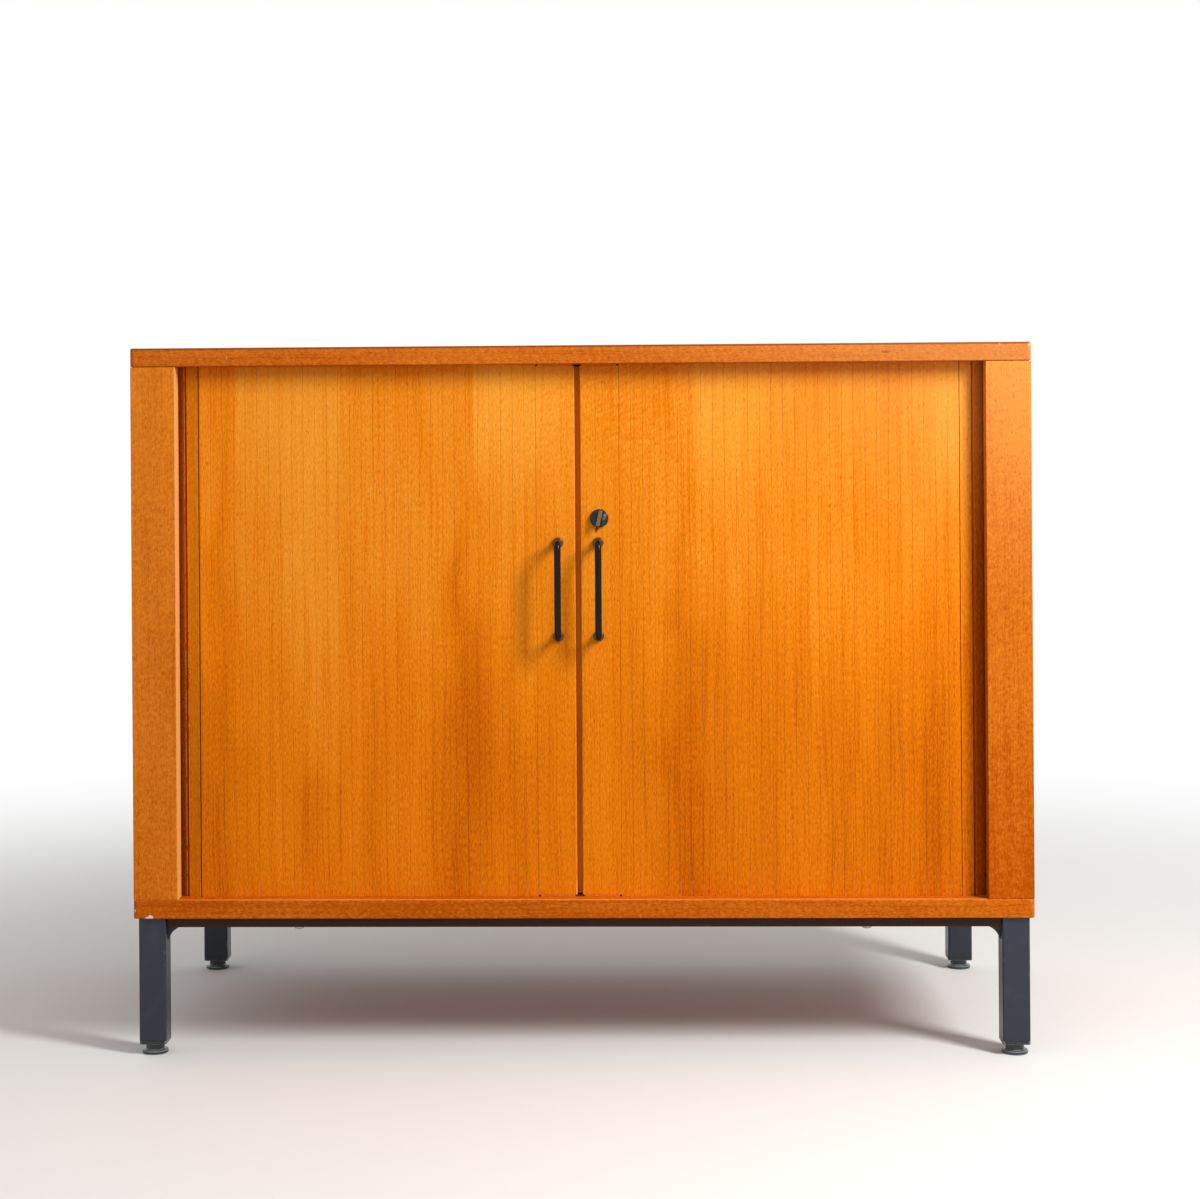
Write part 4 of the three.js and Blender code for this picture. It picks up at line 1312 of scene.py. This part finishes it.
class CABINET_OT_lock(bpy.types.Operator):
    """Makes the turn lock: barrel, nut, grip, cam and screw, and the striker on the other rail"""

    bl_idname = "cabinet.lock"
    bl_label = "Turn Lock"

    grip_width: length_property("Grip width", "Width of the raised grip", 4.1)
    grip_length: length_property("Grip length", "Length of the raised grip", 16.6)
    grip_tilt: angle_property("Grip tilt", "Lean of the grip", 13)
    disc_diameter: length_property("Disc", "Diameter of the turning disc", 17)
    disc_thickness: length_property("Disc thickness", "Thickness of the turning disc", 1.6)
    flange_thickness: length_property("Flange thickness", "Thickness of the barrel's flange", 2)
    barrel_diameter: length_property("Barrel", "Diameter of the barrel in the rail", 15)
    barrel_wall: length_property("Barrel wall", "Wall of the barrel", 2.5)

    def execute(self, context):
        low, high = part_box("lock_barrel")
        self.add_barrel(low, high)
        self.add_turn((low + high) / 2, low.y - CLEARANCE)
        for node in ("lock_nut", "lock_cam", "striker"):
            self.refine(node)
        add_slotted_screw("cam_screw", "Y", True, 0.17)
        return {"FINISHED"}

    def add_barrel(self, low, high):
        flange = (high.x - low.x) / 2
        flange_back = low.y + self.flange_thickness
        barrel = self.barrel_diameter / 2
        bore = barrel - self.barrel_wall
        edge = sizes().metal_easing
        profile = (
            (bore, high.y),
            (bore, low.y),
            (flange - edge * 2, low.y),
            (flange - edge * 0.6, low.y + edge * 0.5),
            (flange, low.y + edge * 2),
            (flange, flange_back),
            (barrel, flange_back),
            (barrel, high.y),
        )
        piece = add_turned("lock_barrel_metal", "Y", (low + high) / 2, profile, sides=64, hollow=True)
        complete(piece, "lock_barrel", "dark_bronze", "lock_metal", turned_on="Y")

    def add_turn(self, centre, disc_back):
        """The disc and its spindle, then the grip standing on it with rounded top edges."""
        low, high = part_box("lock_turn")
        disc = self.disc_diameter / 2
        edge = sizes().metal_easing
        disc_front = disc_back - self.disc_thickness
        spindle = self.barrel_diameter / 2 - self.barrel_wall - CLEARANCE
        profile = (
            (disc * 0.2, disc_front + edge * 2),
            (disc - edge * 2, disc_front),
            (disc - edge * 0.6, disc_front + edge * 0.5),
            (disc, disc_front + edge * 1.6),
            (disc, disc_back),
            (spindle, disc_back),
            (spindle, high.y),
        )
        turn = add_turned("lock_turn_metal", "Y", centre, profile, sides=64)
        half_width, half_length = self.grip_width / 2, self.grip_length / 2
        grip = add_block(
            "grip",
            (centre.x - half_width, low.y, centre.z - half_length),
            (centre.x + half_width, disc_front + self.disc_thickness / 2, centre.z + half_length),
        )
        ease(grip, self.grip_width * 0.32, runs_along("Y"), steps=5)

        def is_rim(rim):
            return max(vert.co.y for vert in rim.verts) < low.y + edge and is_sharp(rim)

        ease(grip, edge * 2.2, is_rim, steps=3)
        grip.matrix_world = turned_about(centre, self.grip_tilt, "Y")
        select_only(grip)
        apply_place()
        combine(turn, grip, "UNION")
        surface(turn, "lock_metal")
        turn.data.materials.append(finish("grip_metal"))
        for face in turn.data.polygons:
            face.material_index = 1 if face.center.y < disc_front - edge else 0
        stand_for(turn, ["lock_turn"])

    def refine(self, node):
        """Copies a cut part of the lock, merges its faces and breaks its sharp edges."""
        select_only(frame["nodes"][node])
        bpy.ops.object.duplicate()
        piece = bpy.context.object
        piece.parent = None
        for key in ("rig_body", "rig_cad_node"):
            del piece[key]
        piece.name = f"{node}_metal"
        piece.data.materials.clear()
        pick(piece, "FACE", lambda face: True)
        bpy.ops.mesh.remove_doubles(threshold=MERGE_DISTANCE)
        bpy.ops.mesh.dissolve_limited(angle_limit=math.radians(1))
        leave_edit()
        ease(piece, sizes().metal_easing / 2, is_sharp, steps=2)
        complete(piece, node, "zinc_steel", "plated_steel")


class CABINET_OT_base(bpy.types.Operator):
    """Makes the steel base: legs, rails, gussets, plugs and the screws up into the panel"""

    bl_idname = "cabinet.base"
    bl_label = "Steel Base"

    weld: length_property("Weld", "Rounding where rails were ground off", 0.8)
    gusset_hollow: length_property("Gusset hollow", "How far a gusset's edge is hollowed", 13.4)
    hollow_share: number_property("Hollow share", "How far up its leg the tube is hollow", 0.9)
    stem_share: number_property("Stem share", "Width of a glide's stem as a share of its disc", 8 / 27)

    def execute(self, context):
        for word in CORNERS:
            self.add_leg(f"leg_{word}")
            self.add_plug(f"leg_insert_{word}", f"leg_{word}", f"glide_{word}")
            self.add_gusset(f"gusset_{word}", "left" in word)
        for word in ("front", "rear", "left", "right"):
            rail = add_board(f"base_rail_{word}", self.weld)
            # The rails wear paint darkened as painted shade
            complete(rail, f"base_rail_{word}", "slate_paint", "shaded_rail_paint")
        for index in range(1, 5):
            add_slotted_screw(f"frame_screw_{index}", "Z", False, 0.12)
        return {"FINISHED"}

    def add_leg(self, node):
        size = sizes()
        low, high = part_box(node)
        leg = add_block(f"{node}_tube", low, high)
        ease(leg, size.tube_corner, runs_along("Z"), steps=5)
        pick(leg, "FACE", lambda face: face.normal.z < -PARALLEL)
        bpy.ops.mesh.inset(thickness=size.tube_wall)
        push_out((0, 0, (high.z - low.z) * self.hollow_share))
        leave_edit()
        turn_faces_out(leg)
        complete(leg, node, "slate_paint", "frame_paint")

    def add_plug(self, node, leg, glide):
        """A lip under the tube and a plug inside it, bored for the glide's stem."""
        size = sizes()
        low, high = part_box(node)
        inside = Vector((1, 1, 0)) * (size.tube_wall + CLEARANCE)
        plug = add_block(f"{node}_plug", low + inside, high - inside)
        ease(plug, size.tube_corner / 2, runs_along("Z"), steps=3)
        lip = add_block("lip", low, (high.x, high.y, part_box(leg)[0].z - CLEARANCE))
        ease(lip, size.tube_corner, runs_along("Z"), steps=5)

        def is_at_foot(edge):
            return max(vert.co.z for vert in edge.verts) < low.z + NEARLY

        ease(lip, size.metal_easing, is_at_foot, steps=2)
        combine(plug, lip, "UNION")
        glide_low, glide_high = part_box(glide)
        stem = (glide_high.x - glide_low.x) / 2 * self.stem_share + CLEARANCE
        profile = ((stem, low.z - MM), (stem, high.z + MM))
        combine(plug, add_turned("bore", "Z", (low + high) / 2, profile, sides=32), "DIFFERENCE")
        complete(plug, node, "black_plastic", "moulded_plastic")

    def add_gusset(self, node, on_left):
        """A small plate whose free edge is hollowed between the leg and the rail."""
        low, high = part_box(node)
        plate = add_block(f"{node}_plate", low, high)
        free_x = high.x if on_left else low.x

        def is_free_corner(edge):
            return all(abs(vert.co.x - free_x) < MM and vert.co.z < low.z + MM for vert in edge.verts)

        ease(plate, self.gusset_hollow, is_free_corner, steps=12, profile=0.125)
        complete(plate, node, "slate_paint", "frame_paint")


class CABINET_OT_glides(bpy.types.Operator):
    """Makes the four levelling glides: disc, neck and threaded stem"""

    bl_idname = "cabinet.glides"
    bl_label = "Levelling Glides"

    neck_diameter: length_property("Neck", "Diameter of the neck", 19)
    stem_diameter: length_property("Stem", "Diameter of the threaded stem", 8)
    disc_height: length_property("Disc height", "Height of the disc", 4)
    disc_easing: length_property("Disc easing", "Rounding of the disc's edges", 1.2)
    stem_length: length_property("Stem length", "Length of stem above the neck", 26)
    thread_pitch: length_property("Thread pitch", "Rise of the stem's thread in one turn", 1.25)

    def execute(self, context):
        for word in CORNERS:
            self.add_glide(f"glide_{word}")
        return {"FINISHED"}

    def add_glide(self, node):
        low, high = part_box(node)
        disc = (high.x - low.x) / 2
        neck, stem = self.neck_diameter / 2, self.stem_diameter / 2
        neck_top = high.z - self.stem_length
        edge = self.disc_easing
        profile = [
            (disc - edge, low.z),
            (disc - edge * 0.3, low.z + edge * 0.3),
            (disc, low.z + edge),
            (disc, self.disc_height - edge),
            (disc - edge * 0.3, self.disc_height - edge * 0.3),
            (disc - edge, self.disc_height),
            (neck + edge, self.disc_height),
            (neck, self.disc_height + edge),
            (neck, neck_top - edge * 0.5),
            (neck - edge * 0.5, neck_top),
            (stem, neck_top),
        ]
        for index in range(int(self.stem_length / self.thread_pitch)):
            foot = neck_top + index * self.thread_pitch
            profile.append((stem, foot + self.thread_pitch * 0.45))
            profile.append((stem * 0.88, foot + self.thread_pitch * 0.95))
        profile.append((stem * 0.8, high.z))
        glide = add_turned(f"{node}_foot", "Z", (low + high) / 2, profile)
        complete(glide, node, "black_plastic", "moulded_plastic", turned_on="Z")


# Stage

def add_to_scene(name, data):
    thing = bpy.data.objects.new(name, data)
    bpy.context.scene.collection.objects.link(thing)
    return thing


def seen_rays(tree):
    """1 for rays that look at a thing, straight, in a mirror or through glass, and 0 for its light."""
    node = tree.nodes.new("ShaderNodeLightPath")
    straight = Value(node.outputs["Is Camera Ray"])
    mirrored = Value(node.outputs["Is Glossy Ray"])
    through = Value(node.outputs["Is Transmission Ray"])
    return calc("MAXIMUM", calc("MAXIMUM", straight, mirrored), through)


class CABINET_OT_stage(bpy.types.Operator):
    """Sets the camera, a pale floor that fades to white, a tall soft window light and the sky"""

    bl_idname = "cabinet.stage"
    bl_label = "Camera, Light and Floor"

    camera_place: vector_property(
        "Camera place", "Where the camera stands", (0.03092, -2.58116, 0.63152), unit="LENGTH"
    )
    camera_turn: angle_property("Camera turn", "Turn to the left", 1.5784)
    camera_roll: angle_property("Camera roll", "Roll of the camera", -0.3881)
    frame_width: count_property("Frame width", "Width of the frame in pixels", 1200)
    focal_pixels: number_property("Focal length", "In pixels of the frame", 2329.7)
    shift_pixels: vector_property("Shift", "Camera shift in pixels of the frame", (55.2, -161.6))
    light_way: vector_property(
        "Light way", "Direction from the doors to the window light", (0.667, -0.50, 0.556)
    )
    light_distance: length_property("Light distance", "From the doors to the light", 2200)
    light_width: length_property("Light width", "Width of the light", 420)
    light_height: length_property("Light height", "Height of the light", 1000)
    light_power: number_property("Light power", "Watts", 46)
    sky_level: number_property("Sky level", "Light from all round", 0.58)
    floor_size: length_property("Floor size", "Width of the floor", 9000)
    fade_start: length_property("Fade start", "From the middle to where the floor starts to fade", 550)
    fade_end: length_property("Fade end", "From the middle to where the floor is white", 2100)

    def execute(self, context):
        self.add_camera(context.scene)
        self.add_light()
        self.add_sky(context.scene)
        self.add_floor()
        context.scene.view_settings.view_transform = "Standard"
        return {"FINISHED"}

    def add_camera(self, scene):
        data = bpy.data.cameras.new("camera")
        camera = add_to_scene("camera", data)
        scene.camera = camera
        data.sensor_width = 36
        data.lens = data.sensor_width * self.focal_pixels / self.frame_width
        data.shift_x = self.shift_pixels[0] / self.frame_width
        data.shift_y = self.shift_pixels[1] / self.frame_width
        ahead = Vector((-math.sin(self.camera_turn), math.cos(self.camera_turn), 0))
        across = Vector((math.cos(self.camera_turn), math.sin(self.camera_turn), 0))
        up = AXES["Z"]
        right = across * math.cos(self.camera_roll) + up * math.sin(self.camera_roll)
        over = up * math.cos(self.camera_roll) - across * math.sin(self.camera_roll)
        turn = Matrix((right, over, -ahead)).transposed().to_4x4()
        camera.matrix_world = Matrix.Translation(Vector(self.camera_place)) @ turn

    def add_light(self):
        low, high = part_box("left_lead_rail")
        way = Vector(self.light_way).normalized()
        data = bpy.data.lights.new("window_light", "AREA")
        data.shape = "RECTANGLE"
        data.size = self.light_width
        data.size_y = self.light_height
        data.energy = self.light_power
        light = add_to_scene("window_light", data)
        light.location = (low + high) / 2 + way * self.light_distance
        light.rotation_euler = way.to_track_quat("Z", "Y").to_euler()

    def add_sky(self, scene):
        """Soft light from all round, behind which the camera sees white."""
        scene.world = bpy.data.worlds.new("sky")
        scene.world.use_nodes = True
        tree = scene.world.node_tree
        soft = tree.nodes["Background"]
        fix(soft, {"Color": (0.96, 0.98, 1.0, 1), "Strength": self.sky_level})
        plain = tree.nodes.new("ShaderNodeBackground")
        fix(plain, {"Color": (1, 1, 1, 1)})
        mix_shaders(seen_rays(tree), soft, plain, tree.nodes["World Output"])

    def add_floor(self):
        bpy.ops.object.select_all(action="DESELECT")
        bpy.ops.mesh.primitive_plane_add(size=self.floor_size)
        floor = bpy.context.object
        floor.name = "floor"
        shader, place = new_material("floor")
        fix(shader, {"Roughness": 0.8, "Specular IOR Level": 0.1})
        fade = ramp(vector_calc("DISTANCE", place, (0, 0, 0)), self.fade_start, self.fade_end)
        seen = seen_rays(place.tree)
        feed(mix(seen, colours().floor_bounce, colours().floor), shader.inputs["Base Color"])
        nodes = place.tree.nodes
        mix_shaders(fade * seen, shader, nodes.new("ShaderNodeEmission"), nodes["Material Output"])
        floor.data.materials.append(finish("floor"))


STEPS = (
    CABINET_OT_stage,
    CABINET_OT_finishes,
    CABINET_OT_panels,
    CABINET_OT_uprights,
    CABINET_OT_insides,
    CABINET_OT_curtains,
    CABINET_OT_lead_rails,
    CABINET_OT_pulls,
    CABINET_OT_lock,
    CABINET_OT_base,
    CABINET_OT_glides,
)


class CABINET_PT_steps(bpy.types.Panel):
    """Lists the steps that make the cabinet, and its sizes and colours"""

    bl_idname = "CABINET_PT_steps"
    bl_label = "Tambour Cabinet"
    bl_space_type = "VIEW_3D"
    bl_region_type = "UI"
    bl_category = "Cabinet"

    def draw(self, context):
        for step in STEPS:
            self.layout.operator(step.bl_idname)
        for group in (context.scene.cabinet_sizes, context.scene.cabinet_colours):
            column = self.layout.column()
            for name in group.__annotations__:
                column.prop(group, name)


CLASSES = (CabinetSizes, CabinetColours, *STEPS, CABINET_PT_steps)


def register():
    for item in CLASSES:
        bpy.utils.register_class(item)
    bpy.types.Scene.cabinet_sizes = bpy.props.PointerProperty(type=CabinetSizes)
    bpy.types.Scene.cabinet_colours = bpy.props.PointerProperty(type=CabinetColours)


def unregister():
    del bpy.types.Scene.cabinet_colours
    del bpy.types.Scene.cabinet_sizes
    for item in reversed(CLASSES):
        bpy.utils.unregister_class(item)


def main():
    register()
    bpy.ops.cabinet.stage()
    bpy.ops.cabinet.finishes()
    bpy.ops.cabinet.panels()
    bpy.ops.cabinet.uprights()
    bpy.ops.cabinet.insides()
    bpy.ops.cabinet.curtains()
    bpy.ops.cabinet.lead_rails()
    bpy.ops.cabinet.pulls()
    bpy.ops.cabinet.lock()
    bpy.ops.cabinet.base()
    bpy.ops.cabinet.glides()


if __name__ == "__main__":
    main()
